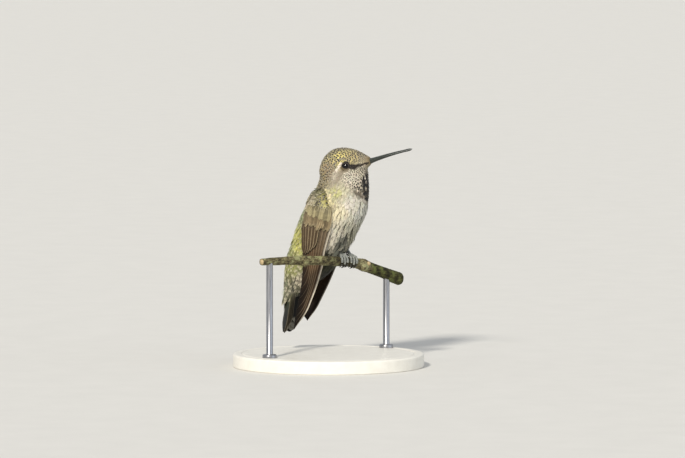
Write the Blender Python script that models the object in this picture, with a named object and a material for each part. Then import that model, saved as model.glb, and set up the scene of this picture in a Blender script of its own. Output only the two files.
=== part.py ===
"""A female-type Anna's hummingbird, life size, perched upright on a cut twig held by a plain display stand.

+Z is up and the bird faces +X. The origin is the centre of the stand base's underside. Lengths in the
tables are millimetres; the model is in metres. The bird's own frame has its plane of symmetry at y = 0 and
its feet at x = 0, and is moved to BIRD_AT when it is placed.
"""

import math

import bmesh
import bpy
from mathutils import Vector

MM = 0.001
OBJECT_NAME = "hummingbird"
GAP = 0.3                         # between neighbouring pieces
BIRD_AT = Vector((4.3, 8.9, 0.0))  # the feet's place over the stand, from the origin

# Bill, in millimetres
BILL_BASE = Vector((9.4, 0.0, 77.4))
BILL_PITCH = math.radians(16.0)
BILL_LENGTH = 17.4
BILL_BASE_HEIGHT = 2.1
BILL_BASE_WIDTH = 2.3

# Head along the bill's axis, backwards from the bill's base: distance, top, bottom, half width
HEAD_STATIONS = [
    (-0.2, 1.35, 1.20, 1.35), (2.4, 3.8, 2.5, 2.85), (5.0, 5.8, 3.9, 4.4), (8.0, 7.4, 5.6, 5.9),
    (11.0, 8.2, 7.2, 6.9), (14.0, 8.15, 8.0, 7.4), (17.0, 6.9, 8.0, 7.1), (19.0, 4.9, 7.0, 6.1),
    (20.3, 2.6, 5.0, 4.2),
]
# Neck, trunk and tail coverts: back x, back z, belly x, belly z, half width
TRUNK_STATIONS = [
    (-7.3, 78.3, 7.0, 75.6, 6.2), (-10.3, 74.0, 7.9, 72.6, 7.7), (-11.3, 70.3, 8.2, 68.2, 8.4),
    (-13.1, 66.3, 8.1, 63.6, 9.4), (-15.8, 61.9, 7.7, 58.9, 10.3), (-18.3, 57.5, 6.2, 54.7, 10.8),
    (-20.5, 52.5, 3.7, 50.2, 10.4), (-22.5, 47.2, 1.2, 45.2, 9.1), (-24.2, 42.4, -2.4, 40.6, 7.4),
    (-25.6, 37.6, -5.6, 36.4, 6.1), (-26.2, 32.2, -9.8, 32.4, 5.0), (-26.1, 26.6, -15.5, 29.0, 3.6),
]
BODY_SIDES, HEAD_SIDES = 20, 18

# Eyes, from the bill's base in the head's frame
EYE_BACK, EYE_UP, EYE_OUT, EYE_RADIUS = 8.6, 0.25, 4.55, 2.2

# Folded wing, seen from the side: z, leading x, trailing x, leading |y|, trailing |y| of its inner face
WING_STATIONS = [
    (68.0, -6.2, -11.2, 9.3, 7.6), (64.0, -4.2, -13.2, 9.9, 7.7), (60.0, -2.4, -14.2, 10.4, 8.0),
    (56.0, -2.1, -14.7, 10.6, 8.7), (52.0, -2.6, -14.8, 10.1, 9.0), (47.0, -4.4, -14.8, 9.2, 8.7),
    (42.0, -6.3, -14.8, 8.1, 8.0), (36.8, -8.2, -15.2, 7.2, 7.2), (30.5, -10.4, -16.1, 6.6, 6.5),
    (25.0, -12.7, -17.4, 6.2, 6.1), (19.2, -15.4, -18.8, 5.9, 5.8), (13.0, -19.6, -19.7, 5.7, 5.7),
]
LEFT_SWEEP = -1.4                 # how far back the left wing's tip lies from the right one's
FEATHER_THICK = 0.60
FEATHER_EDGE = 0.34

# Tail: ridge of the closed, roof-shaped fan
TAIL_ROOT = Vector((-22.6, 0.0, 34.5))
TAIL_TIP = Vector((-27.5, 0.0, 11.4))
TAIL_PITCH = math.radians(40.0)

# Perch: distance along it from the feet (plus to the bird's right), height of its centre, radius
PERCH_HEADING = Vector((-0.405, -0.9143, 0.0))
PERCH_BACK = Vector((-1.45, 0.0, 0.0))
PERCH_STATIONS = [
    (42.6, 41.1, 1.25), (36.5, 41.0, 1.45), (29.2, 40.9, 1.50), (23.5, 40.7, 1.70), (21.5, 40.6, 1.95),
    (19.4, 40.5, 1.72), (11.6, 40.0, 1.75), (4.4, 39.4, 1.85), (-1.9, 38.9, 1.90), (-7.6, 37.8, 2.00),
    (-10.2, 37.1, 2.35), (-12.8, 36.3, 2.10), (-19.5, 34.1, 2.15), (-24.7, 32.4, 2.30),
    (-29.1, 30.9, 2.40),
]
PERCH_SIDES = 12
BUDS = ((-8.9, 2.2, 1.15), (21.5, 2.7, 0.9))   # along the perch, round it, size

# Feet
FOOT_SPREAD = 2.45
TOE_RADIUS = 0.52
TOE_SPACING = 1.45

# Stand
BASE_RADIUS, BASE_HEIGHT, BASE_BEVEL = 36.0, 5.0, 0.8
ROD_RADIUS, ROD_FOOT_RADIUS, ROD_FOOT_HEIGHT = 1.25, 2.7, 1.3
ROD_AT = (38.6, -22.4)            # along the perch from the feet


# ---------------------------------------------------------------- scene and materials

def clear_scene():
    for item in list(bpy.data.objects):
        bpy.data.objects.remove(item, do_unlink=True)


def new_collection(name):
    collection = bpy.data.collections.new(name)
    bpy.context.scene.collection.children.link(collection)
    return collection


def material(name, color, roughness, metallic=0.0):
    found = bpy.data.materials.get(name)
    if found:
        return found
    made = bpy.data.materials.new(name)
    made.use_nodes = True
    shader = made.node_tree.nodes["Principled BSDF"]
    shader.inputs["Base Color"].default_value = (color[0], color[1], color[2], 1.0)
    shader.inputs["Roughness"].default_value = roughness
    shader.inputs["Metallic"].default_value = metallic
    return made


MATERIALS = {                      # colour and roughness
    "crown": ((0.30, 0.29, 0.17), 0.7),
    "throat": ((0.55, 0.50, 0.42), 0.8),
    "belly": ((0.36, 0.35, 0.30), 0.8),
    "rump": ((0.34, 0.36, 0.13), 0.6),
    "vent": ((0.22, 0.23, 0.15), 0.8),
    "shoulder": ((0.36, 0.33, 0.12), 0.6),
    "covert": ((0.30, 0.25, 0.18), 0.7),
    "flight": ((0.08, 0.055, 0.035), 0.6),
    "tail_green": ((0.10, 0.11, 0.06), 0.6),
    "bill": ((0.035, 0.04, 0.032), 0.35),
    "eye": ((0.01, 0.008, 0.007), 0.08),
    "foot": ((0.10, 0.10, 0.09), 0.6),
    "claw": ((0.03, 0.028, 0.025), 0.4),
    "bark": ((0.24, 0.22, 0.14), 0.9),
    "stand": ((0.62, 0.61, 0.58), 0.45),
    "rod": ((0.55, 0.55, 0.56), 0.3),
}


def finish(item, name, slot, collection):
    """Name it, give it its material and put it in the model's collection."""
    item.name = name
    item.data.name = name
    item.data.materials.clear()
    color, roughness = MATERIALS[slot]
    item.data.materials.append(material(slot, color, roughness, 1.0 if slot == "rod" else 0.0))
    for other in list(item.users_collection):
        other.objects.unlink(item)
    collection.objects.link(item)
    return item


# ---------------------------------------------------------------- mesh helpers

def place(point):
    """A point of the bird's frame, in metres of the row frame."""
    return (Vector(point) + BIRD_AT) * MM


def mesh_object(name, points, faces):
    mesh = bpy.data.meshes.new(name)
    mesh.from_pydata([tuple(p) for p in points], [], faces)
    mesh.validate()
    item = bpy.data.objects.new(name, mesh)
    bpy.context.scene.collection.objects.link(item)
    shell = bmesh.new()
    shell.from_mesh(mesh)
    bmesh.ops.recalc_face_normals(shell, faces=shell.faces)
    bmesh.ops.triangulate(shell, faces=[f for f in shell.faces if len(f.verts) > 4])
    shell.to_mesh(mesh)
    shell.free()
    return item


def loft(name, rings):
    """A closed body through rings of equal count, capped at both ends with a fan."""
    count = len(rings[0])
    points = [place(p) for ring in rings for p in ring]
    faces = []
    for row in range(len(rings) - 1):
        for side in range(count):
            after = (side + 1) % count
            a, b = row * count, (row + 1) * count
            faces.append((a + side, a + after, b + after, b + side))
    for row in (0, len(rings) - 1):
        centre = sum((Vector(p) for p in rings[row]), Vector()) / count
        points.append(place(centre))
        hub = len(points) - 1
        for side in range(count):
            faces.append((row * count + side, row * count + (side + 1) % count, hub))
    return mesh_object(name, points, faces)


def oval(centre, up, side, top, bottom, half, count):
    """An oval ring whose upper and lower halves have their own heights."""
    ring = []
    for step in range(count):
        angle = 2.0 * math.pi * (step + 0.5) / count
        rise = math.cos(angle)
        ring.append(centre + up * rise * (top if rise > 0 else bottom) + side * math.sin(angle) * half)
    return ring


def tube(name, points, radii, sides):
    """A round tube through points, its rings square to the path."""
    rings = []
    guide = Vector((0.0, 0.0, 1.0))
    for index, point in enumerate(points):
        ahead = points[min(index + 1, len(points) - 1)]
        behind = points[max(index - 1, 0)]
        along = (ahead - behind).normalized()
        if index == 0 and abs(along.z) > 0.8:
            guide = Vector((1.0, 0.0, 0.0))
        across = along.cross(guide).normalized()
        guide = across.cross(along).normalized()
        rings.append(oval(point, guide, across, radii[index], radii[index], radii[index], sides))
    return loft(name, rings)


def apply_modifier(item, modifier):
    bpy.context.view_layer.objects.active = item
    item.select_set(True)
    bpy.ops.object.modifier_apply(modifier=modifier.name)
    item.select_set(False)


def boolean(item, other, operation):
    """The solver is the one that keeps thin, nearly touching vanes closed."""
    modifier = item.modifiers.new("cut", "BOOLEAN")
    modifier.operation = operation
    modifier.solver = "MANIFOLD"
    modifier.object = other
    apply_modifier(item, modifier)
    keep_largest(item)


def keep_largest(item):
    """Drop loose chips that a cut leaves, and weld points that fall together."""
    shell = bmesh.new()
    shell.from_mesh(item.data)
    bmesh.ops.triangulate(shell, faces=[f for f in shell.faces if len(f.verts) > 4])
    groups, seen = [], set()
    for start in shell.verts:
        if start in seen:
            continue
        group, todo = [], [start]
        seen.add(start)
        while todo:
            vert = todo.pop()
            group.append(vert)
            for edge in vert.link_edges:
                other = edge.other_vert(vert)
                if other not in seen:
                    seen.add(other)
                    todo.append(other)
        groups.append(group)
    groups.sort(key=len)
    for group in groups[:-1]:
        bmesh.ops.delete(shell, geom=group, context="VERTS")
    shell.to_mesh(item.data)
    shell.free()


def copy_of(item, name):
    twin = item.copy()
    twin.data = item.data.copy()
    twin.name = name
    bpy.context.scene.collection.objects.link(twin)
    return twin


def remove(items):
    for item in items:
        bpy.data.objects.remove(item, do_unlink=True)


def slab(front, back, thick, wide=60.0):
    """A thin plate across the body whose middle plane holds two points of the bird's plane of symmetry."""
    front, back = Vector((front[0], 0.0, front[1])), Vector((back[0], 0.0, back[1]))
    along = (front - back).normalized()
    normal = Vector((-along.z, 0.0, along.x))
    half = normal * thick / 2.0
    side = Vector((0.0, wide / 2.0, 0.0))
    ring = [front + half, back + half, back - half, front - half]
    return loft("slab", [[p - side for p in ring], [p + side for p in ring]])


def wedge(front, back, above, wide=60.0):
    """A block on one side of the plane that holds two points, to keep or drop a part of the body."""
    front, back = Vector((front[0], 0.0, front[1])), Vector((back[0], 0.0, back[1]))
    along = (front - back).normalized()
    normal = Vector((-along.z, 0.0, along.x)) * (70.0 if above else -70.0)
    side = Vector((0.0, wide / 2.0, 0.0))
    near, far = front + along * 60.0, back - along * 60.0
    ring = [near, far, far + normal, near + normal]
    return loft("wedge", [[p - side for p in ring], [p + side for p in ring]])


# ---------------------------------------------------------------- the bird's frames

HEAD_AHEAD = Vector((math.cos(BILL_PITCH), 0.0, math.sin(BILL_PITCH)))
HEAD_UP = Vector((-math.sin(BILL_PITCH), 0.0, math.cos(BILL_PITCH)))
LEFTWARD = Vector((0.0, 1.0, 0.0))


def head_point(back, up, out):
    return BILL_BASE - HEAD_AHEAD * back + HEAD_UP * up + LEFTWARD * out


def table(stations, key, column):
    """Read a column of a table at a key, straight between its rows."""
    rows = sorted(stations)
    if key <= rows[0][0]:
        return rows[0][column]
    for low, high in zip(rows, rows[1:]):
        if key <= high[0]:
            share = (key - low[0]) / (high[0] - low[0])
            return low[column] + (high[column] - low[column]) * share
    return rows[-1][column]


def wing_sheet(x, z, out):
    """How far a point of the folded wing is from the plane of symmetry, at a height over its inner face."""
    leading, trailing = table(WING_STATIONS, z, 1), table(WING_STATIONS, z, 2)
    share = min(max((x - leading) / min(trailing - leading, -0.8), -0.1), 1.1)
    near, far = table(WING_STATIONS, z, 3), table(WING_STATIONS, z, 4)
    camber = 0.75 if z > 40.0 else 0.75 * max(z - 10.0, 0.0) / 30.0
    return near + (far - near) * share + camber * 4.0 * share * (1.0 - share) + out


# ---------------------------------------------------------------- head, neck, trunk and coverts

def body_shell():
    """The whole feathered body as one skin, before it is parted."""
    rings = []
    for back, top, bottom, half in HEAD_STATIONS:
        rings.append(oval(head_point(back, 0.0, 0.0), HEAD_UP, LEFTWARD, top, bottom, half, HEAD_SIDES))
    head = loft("head_shell", rings)
    rings = []
    for back_x, back_z, belly_x, belly_z, half in TRUNK_STATIONS:
        back, belly = Vector((back_x, 0.0, back_z)), Vector((belly_x, 0.0, belly_z))
        reach = (back - belly).length / 2.0
        up = (back - belly).normalized()
        rings.append(oval((back + belly) / 2.0, up, LEFTWARD, reach, reach, half, BODY_SIDES))
    body = loft("body_shell", rings)
    boolean(body, head, "UNION")
    remove([head])
    return body


CUTS = {                          # front point and back point of the thin cuts between the body's regions
    "head": ((12.0, 73.6), (-14.0, 70.0)),
    "neck": ((12.0, 60.2), (-18.0, 65.2)),
    "trunk": ((5.0, 41.0), (-26.0, 46.6)),
}
COVERT_CUT = ((-9.0, 48.0), (-21.0, 22.0))


def part_of(body, name, keep_blocks, cut_slabs):
    piece = copy_of(body, name)
    for block in keep_blocks:
        boolean(piece, block, "INTERSECT")
    for plate in cut_slabs:
        boolean(piece, plate, "DIFFERENCE")
    return piece


def parted_body(body, collection):
    above = {name: wedge(front, back, True) for name, (front, back) in CUTS.items()}
    below = {name: wedge(front, back, False) for name, (front, back) in CUTS.items()}
    plates = {name: slab(front, back, GAP) for name, (front, back) in CUTS.items()}
    covert_plate = slab(COVERT_CUT[0], COVERT_CUT[1], GAP)
    dorsal = wedge(COVERT_CUT[0], COVERT_CUT[1], True)
    ventral = wedge(COVERT_CUT[0], COVERT_CUT[1], False)
    head = part_of(body, "head", [above["head"]], [plates["head"]])
    neck = part_of(body, "neck", [below["head"], above["neck"]], [plates["head"], plates["neck"]])
    trunk = part_of(body, "trunk", [below["neck"], above["trunk"]], [plates["neck"], plates["trunk"]])
    rump = part_of(body, "rump", [below["trunk"], dorsal], [plates["trunk"], covert_plate])
    vent = part_of(body, "vent", [below["trunk"], ventral], [plates["trunk"], covert_plate])
    for group in (above, below, plates):
        remove(list(group.values()))
    remove([covert_plate, dorsal, ventral])
    finish(head, "head", "crown", collection)
    finish(neck, "neck", "throat", collection)
    finish(trunk, "trunk", "belly", collection)
    finish(rump, "rump_uppertail_coverts", "rump", collection)
    finish(vent, "undertail_coverts", "vent", collection)
    return [head, neck, trunk, rump, vent]


# ---------------------------------------------------------------- bill and eyes

def bill_outline(share):
    """Half height and half width of the closed bill at a share of its length."""
    taper = 1.0 - 0.62 * share ** 0.55
    swell = 0.06 * math.exp(-((share - 0.9) / 0.08) ** 2)
    if share > 0.94:
        taper *= 1.0 - 0.75 * (share - 0.94) / 0.06
    half_height = max(BILL_BASE_HEIGHT / 2.0 * taper + swell, 0.16)
    half_width = max(BILL_BASE_WIDTH / 2.0 * taper + swell, 0.16)
    return half_height, half_width


def mandible(name, upper, grow=0.0):
    rings = []
    gape, start, steps, sides = 0.05, -3.0, 11, 8
    for step in range(steps + 1):
        share = step / steps
        distance = start + (BILL_LENGTH - start - (0.0 if upper else 0.35)) * share
        half_height, half_width = bill_outline(max(distance, 0.0) / BILL_LENGTH)
        droop = 0.25 * math.sin(math.pi * max(distance, 0.0) / BILL_LENGTH)
        centre = BILL_BASE + HEAD_AHEAD * distance + HEAD_UP * droop
        ring = []
        for index in range(sides + 1):
            angle = math.pi * index / sides
            rise = math.sin(angle) * (half_height + grow)
            rise = rise + gape - grow if upper else -rise - gape + grow
            ring.append(centre + LEFTWARD * math.cos(angle) * (half_width + grow) + HEAD_UP * rise)
        rings.append(ring)
    return loft(name, rings)


def bill(collection):
    upper = finish(mandible("bill_upper", True), "bill_upper", "bill", collection)
    lower = finish(mandible("bill_lower", False), "bill_lower", "bill", collection)
    return [upper, lower]


def eyeball(side, radius):
    bpy.ops.mesh.primitive_uv_sphere_add(segments=12, ring_count=8, radius=radius * MM,
                                         location=place(head_point(EYE_BACK, EYE_UP, side * EYE_OUT)))
    ball = bpy.context.object
    bpy.ops.object.transform_apply(location=True, rotation=True, scale=True)
    ball.select_set(False)
    return ball


# ---------------------------------------------------------------- wings

PRIMARY_TIPS = (13.8, 16.4, 21.6, 27.6, 33.2, 38.4)   # heights, from the outermost primary inward
PRIMARY_EDGES = (0.0, 0.18, 0.36, 0.53, 0.68, 0.83)   # leading edges, as shares of the folded blade
STEP = 0.15                                          # each inner primary lies this far outside the next
BLADE_TOP = 51.6


def blade_rows():
    """Heights of the folded blade's cross-sections: two to each feather's tip, and the top."""
    rows = [BLADE_TOP, 47.0, 43.0]
    for tip in PRIMARY_TIPS[:0:-1]:
        rows += [tip + 1.2, tip - 0.2]
    return rows + [14.7, 13.8]


def edge_shares(passed):
    """Where the feathers' edges lie across the blade; those of ended feathers spread over the last one."""
    shares = list(PRIMARY_EDGES[:passed])
    ended = len(PRIMARY_EDGES) - passed
    for index in range(ended):
        shares.append(shares[passed - 1] + (1.0 - shares[passed - 1]) * (index + 1.0) / (ended + 1.0))
    return shares


def primaries(side, grow=0.0):
    """The folded primaries as one stepped blade; the outermost is its front edge and runs to the tip."""
    rings = []
    rows = blade_rows()
    for z in rows:
        swept = LEFT_SWEEP * min(max((38.0 - z) / 20.0, 0.0), 1.0) if side > 0 else 0.0
        leading, trailing = table(WING_STATIONS, z, 1), table(WING_STATIONS, z, 2)
        passed = sum(1 for tip in PRIMARY_TIPS if tip <= z)
        if any(0.0 < z + 0.3 - tip < 0.3 for tip in PRIMARY_TIPS[1:]):
            trailing += 0.25
        if z == rows[-1]:
            leading -= 0.5
        trailing = min(trailing, leading - 0.9)
        width = trailing - leading
        outer = [(leading, FEATHER_THICK - 0.18), (leading - 0.25, FEATHER_THICK)]
        shares = edge_shares(passed)
        for index, share in enumerate(shares):
            if index == 0:
                continue
            x = leading + width * share
            before, after = (index - 1) * STEP, index * STEP
            if index >= passed:
                before = after = (passed - 1) * STEP
            outer.append((x + 0.06, FEATHER_THICK + before))
            outer.append((x - 0.06, FEATHER_THICK + after))
        outer.append((trailing, outer[-1][1] - 0.2))
        level = z + grow if z == rows[0] else (z - grow if z == rows[-1] else z)
        ring = []
        for index, (x, rise) in enumerate(outer):
            x = x + grow if index == 0 else (x - grow if index == len(outer) - 1 else x)
            ring.append(Vector((x + swept, side * wing_sheet(x, z, rise + grow), level)))
        for share in (1.0, 0.5, 0.0):
            x = leading + width * share + grow * (1.0 - 2.0 * share)
            ring.append(Vector((x + swept, side * wing_sheet(x, z, -grow), level)))
        rings.append(ring)
    return loft("primaries", rings)


SECONDARY_ROWS = (52.9, 50.0, 47.4, 45.6, 44.2, 43.0, 41.9)
SECONDARY_EDGES = (0.0, 0.26, 0.50, 0.72)
SECONDARY_FRONT = 0.34
SECONDARY_LIFT = 1.66                                # the secondaries' inner face over the primaries' one


def secondaries(side, grow=0.0):
    """The short secondaries over the bases of the inner primaries, stepping toward the back."""
    rings = []
    for row, z in enumerate(SECONDARY_ROWS):
        leading, trailing = table(WING_STATIONS, z, 1), table(WING_STATIONS, z, 2)
        share_down = row / (len(SECONDARY_ROWS) - 1.0)
        front = leading + (trailing - leading) * (SECONDARY_FRONT + 0.22 * share_down ** 2)
        rear = trailing - 0.7 + 0.9 * share_down ** 3
        outer = []
        for index, share in enumerate(SECONDARY_EDGES):
            x = front + (rear - front) * share
            outer.append((x, SECONDARY_LIFT + FEATHER_THICK * 0.55 + STEP * max(index - 1, 0)))
            outer.append((x - 0.2, SECONDARY_LIFT + FEATHER_THICK * 0.85 + STEP * index))
        outer.append((rear, outer[-1][1] - 0.3))
        level = z + grow if row == 0 else (z - grow if row == len(SECONDARY_ROWS) - 1 else z)
        ring = []
        for index, (x, rise) in enumerate(outer):
            x = x + grow if index == 0 else (x - grow if index == len(outer) - 1 else x)
            ring.append(Vector((x, side * wing_sheet(x, z, rise + grow), level)))
        for x in (rear - grow, (front + rear) / 2.0, front + grow):
            ring.append(Vector((x, side * wing_sheet(x, z, SECONDARY_LIFT - grow), level)))
        rings.append(ring)
    return loft("secondaries", rings)


ARM_ROWS = (67.4, 66.6, 65.0, 62.6, 59.8, 56.8, 54.2, 52.2)
ARM_SWELL = (0.35, 0.95, 1.55, 2.0, 2.2, 2.25, 2.25, 2.15)
ARM_INSET = (2.2, 1.1, 0.3, 0.0, 0.0, 0.0, 0.0, 0.0)   # the shoulder's rounded top


def wing_arm(side, grow=0.0):
    """The feathered forearm and hand: lesser, median and greater coverts in one soft pad."""
    rings = []
    for z, swell, inset in zip(ARM_ROWS, ARM_SWELL, ARM_INSET):
        level = z
        if z == ARM_ROWS[0]:
            level = z + grow
        if z == ARM_ROWS[-1]:
            level = z - grow
        leading = table(WING_STATIONS, z, 1) + 0.1 + grow - inset
        trailing = table(WING_STATIONS, z, 2) - grow + inset
        ring = []
        for index in range(7):
            share = index / 6.0
            x = leading + (trailing - leading) * share
            rise = swell * (0.2 + 0.8 * math.sin(math.pi * (0.04 + 0.90 * share)) ** 0.6) + grow
            ring.append(Vector((x, side * wing_sheet(x, z, rise), level)))
        for index in range(6, -1, -1):
            share = index / 6.0
            x = leading + (trailing - leading) * share
            ring.append(Vector((x, side * (wing_sheet(x, z, -0.55) - grow), level)))
        rings.append(ring)
    return loft("arm", rings)


SHOULDER_CUT = ((4.0, 57.4), (-20.0, 61.4))


def wing(side, label, collection):
    """Shoulder, coverts, secondaries and primaries of one wing, and the cutters that make room for them."""
    arm, arm_room = wing_arm(side), wing_arm(side, GAP)
    hand, hand_room = primaries(side), primaries(side, GAP * 1.5)
    fan, fan_room = secondaries(side), secondaries(side, GAP * 1.5)
    boolean(hand, arm_room, "DIFFERENCE")
    boolean(fan, arm_room, "DIFFERENCE")
    boolean(fan, hand_room, "DIFFERENCE")
    plate = slab(SHOULDER_CUT[0], SHOULDER_CUT[1], GAP)
    upper = wedge(SHOULDER_CUT[0], SHOULDER_CUT[1], True)
    lower = wedge(SHOULDER_CUT[0], SHOULDER_CUT[1], False)
    shoulder = part_of(arm, "shoulder", [upper], [plate])
    coverts = part_of(arm, "coverts", [lower], [plate])
    remove([arm, plate, upper, lower])
    finish(shoulder, "wing_" + label + "_shoulder", "shoulder", collection)
    finish(coverts, "wing_" + label + "_coverts", "covert", collection)
    finish(fan, "wing_" + label + "_secondaries", "covert", collection)
    finish(hand, "wing_" + label + "_primaries", "flight", collection)
    return [arm_room, hand_room, fan_room]


# ---------------------------------------------------------------- tail

TAIL_LAYER = 0.30
TAIL_TIPS = (11.8, 11.5, 12.0, 13.1, 15.0)


def tail_feather(number, side, grow=0.0):
    """One of a side's five rectrices, counted from the middle outward; each lies under the one before."""
    across = Vector((math.sin(TAIL_PITCH), side * math.cos(TAIL_PITCH), 0.0))
    outward = Vector((-math.cos(TAIL_PITCH), side * math.sin(TAIL_PITCH), 0.0))
    layer = -TAIL_LAYER * (number - 1)
    tip_height = TAIL_TIPS[number - 1]
    reach = (TAIL_ROOT.z - tip_height) / (TAIL_ROOT.z - TAIL_TIP.z)
    start, end = TAIL_ROOT, TAIL_ROOT + (TAIL_TIP - TAIL_ROOT) * reach
    rings = []
    rows = 8
    for row in range(rows + 1):
        share = row / rows
        middle = (1.9 + 0.12 * (number - 1)) * (1.0 - share) + (3.05 + 0.52 * (number - 1)) * share
        half = (1.75 + 1.25 * min(share * 1.9, 1.0)) * min(1.0, 0.16 + 2.5 * (1.0 - share) ** 0.6)
        spine = start.lerp(end, share) + outward * 0.4 * math.sin(math.pi * share)
        lift = -grow if row == 0 else (grow if row == rows else 0.0)
        spine = spine + (end - start).normalized() * lift
        ring = []
        for spot, face in ((-1.0, 1.0), (0.0, 1.0), (1.0, 1.0), (1.0, -1.0), (0.0, -1.0), (-1.0, -1.0)):
            thick = FEATHER_THICK / 2.0 if spot == 0.0 else FEATHER_EDGE / 2.0
            height = layer + face * (thick + grow)
            inner = (0.17 - grow * 2.0 - height * math.sin(TAIL_PITCH)) / math.cos(TAIL_PITCH)
            ring.append(spine + across * max(middle + spot * (half + grow), inner) + outward * height)
        rings.append(ring)
    return loft("rectrix", rings)


def tail_fan(side, grow=0.0):
    made = tail_feather(1, side, grow)
    for number in range(2, 6):
        vane = tail_feather(number, side, grow)
        boolean(made, vane, "UNION")
        remove([vane])
    return made


# ---------------------------------------------------------------- perch, feet and claws

def perch_point(distance):
    height = table(PERCH_STATIONS, distance, 1)
    sway = 0.35 * math.sin(distance / 9.0)
    across = Vector((-PERCH_HEADING.y, PERCH_HEADING.x, 0.0))
    return PERCH_BACK + PERCH_HEADING * distance + across * sway + Vector((0.0, 0.0, height))


def perch_frame(distance):
    """Directions at a place on the perch: along it, up square to it, and forward square to it."""
    along = (perch_point(distance + 0.5) - perch_point(distance - 0.5)).normalized()
    forward = along.cross(Vector((0.0, 0.0, 1.0))).normalized()
    if forward.x < 0.0:
        forward = -forward
    up = forward.cross(along).normalized()
    if up.z < 0.0:
        up = -up
    return along, up, forward


def perch_solid(grow=0.0):
    rings = []
    for distance, _, radius in sorted(PERCH_STATIONS):
        reach = distance
        if distance == PERCH_STATIONS[0][0]:
            reach += grow
        if distance == PERCH_STATIONS[-1][0]:
            reach -= grow
        along, up, forward = perch_frame(distance)
        ring = []
        for step in range(PERCH_SIDES):
            angle = 2.0 * math.pi * step / PERCH_SIDES
            ripple = 0.035 * math.sin(3.0 * angle + distance * 0.7) + 0.02 * math.sin(5.0 * angle - distance)
            outward = up * math.cos(angle) + forward * math.sin(angle)
            ring.append(perch_point(reach) + outward * (radius * (1.0 + ripple) + grow))
        rings.append(ring)
    twig = loft("perch", rings)
    for distance, angle, size in BUDS:
        along, up, forward = perch_frame(distance)
        radius = table(PERCH_STATIONS, distance, 2)
        out = up * math.cos(angle) + forward * math.sin(angle)
        bpy.ops.mesh.primitive_ico_sphere_add(subdivisions=2, radius=(size + grow) * MM,
                                              location=place(perch_point(distance) + out * radius * 0.95))
        bud = bpy.context.object
        bud.scale = (1.0, 1.0, 1.15)
        bpy.ops.object.transform_apply(location=True, rotation=True, scale=True)
        bud.select_set(False)
        boolean(twig, bud, "UNION")
        remove([bud])
    return twig


def on_perch(distance, angle, clearance):
    """A point round the perch: angle 0 is on top and grows toward the front."""
    along, up, forward = perch_frame(distance)
    radius = table(PERCH_STATIONS, distance, 2) * 1.05 + clearance
    return perch_point(distance) + up * math.cos(angle) * radius + forward * math.sin(angle) * radius


TOE_TURNS = {                     # place across the foot, then where it starts and ends round the perch
    "inner": (1, 0.10, 1.72),
    "middle": (0, 0.10, 1.95),
    "outer": (-1, 0.10, 1.72),
    "hind": (0, -0.15, -1.55),
}


def toe(centre, kind):
    slot, first, last = TOE_TURNS[kind]
    points, radii = [], []
    steps = 7
    for step in range(steps + 1):
        share = step / steps
        angle = first + (last - first) * share
        distance = centre + slot * TOE_SPACING * min(1.0, 0.35 + share * 1.6)
        knuckle = 0.05 * math.cos(share * math.pi * 5.0)
        size = TOE_RADIUS * (1.0 - 0.16 * share) + knuckle
        points.append(on_perch(distance, angle, 0.20 + TOE_RADIUS))
        radii.append(size)
    return tube("toe", points, radii, 7)


def claw(centre, kind):
    slot, first, last = TOE_TURNS[kind]
    turn = 1.0 if last > 0 else -1.0
    points, radii = [], []
    steps = 4
    for step in range(steps + 1):
        share = step / steps
        angle = last + turn * (0.24 + share * 0.72)
        points.append(on_perch(centre + slot * TOE_SPACING, angle, 0.24 + TOE_RADIUS - 0.22 * share))
        radii.append((TOE_RADIUS - 0.04) * (1.0 - 0.68 * share))
    return tube("claw", points, radii, 6)


def leg(side, label, collection):
    """The short leg from the belly's feathers to the foot, the foot with its four toes, and the claws."""
    centre = -side * FOOT_SPREAD
    sole = on_perch(centre, 0.12, 0.20 + TOE_RADIUS)
    knee = Vector((-4.0, side * 3.4, 46.6))
    shank_path = [sole, sole.lerp(knee, 0.22), sole.lerp(knee, 0.55), knee]
    shank = tube("leg", shank_path, [0.56, 0.56, 0.75, 1.25], 8)
    foot = toe(centre, "middle")
    for kind in ("inner", "outer", "hind"):
        digit = toe(centre, kind)
        boolean(foot, digit, "UNION")
        remove([digit])
    boolean(foot, shank, "UNION")
    remove([shank])
    made = [finish(foot, "leg_" + label, "foot", collection)]
    for kind in TOE_TURNS:
        made.append(finish(claw(centre, kind), "claw_" + label + "_" + kind, "claw", collection))
    return made


# ---------------------------------------------------------------- stand

def lathe(name, profile, segments, centre):
    """A turned solid from its half profile of (radius, height) points, bottom to top."""
    rings = []
    for radius, height in profile:
        rings.append([Vector((centre[0] + radius * math.cos(2.0 * math.pi * k / segments),
                              centre[1] + radius * math.sin(2.0 * math.pi * k / segments), height))
                      for k in range(segments)])
    return loft(name, rings)


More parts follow.
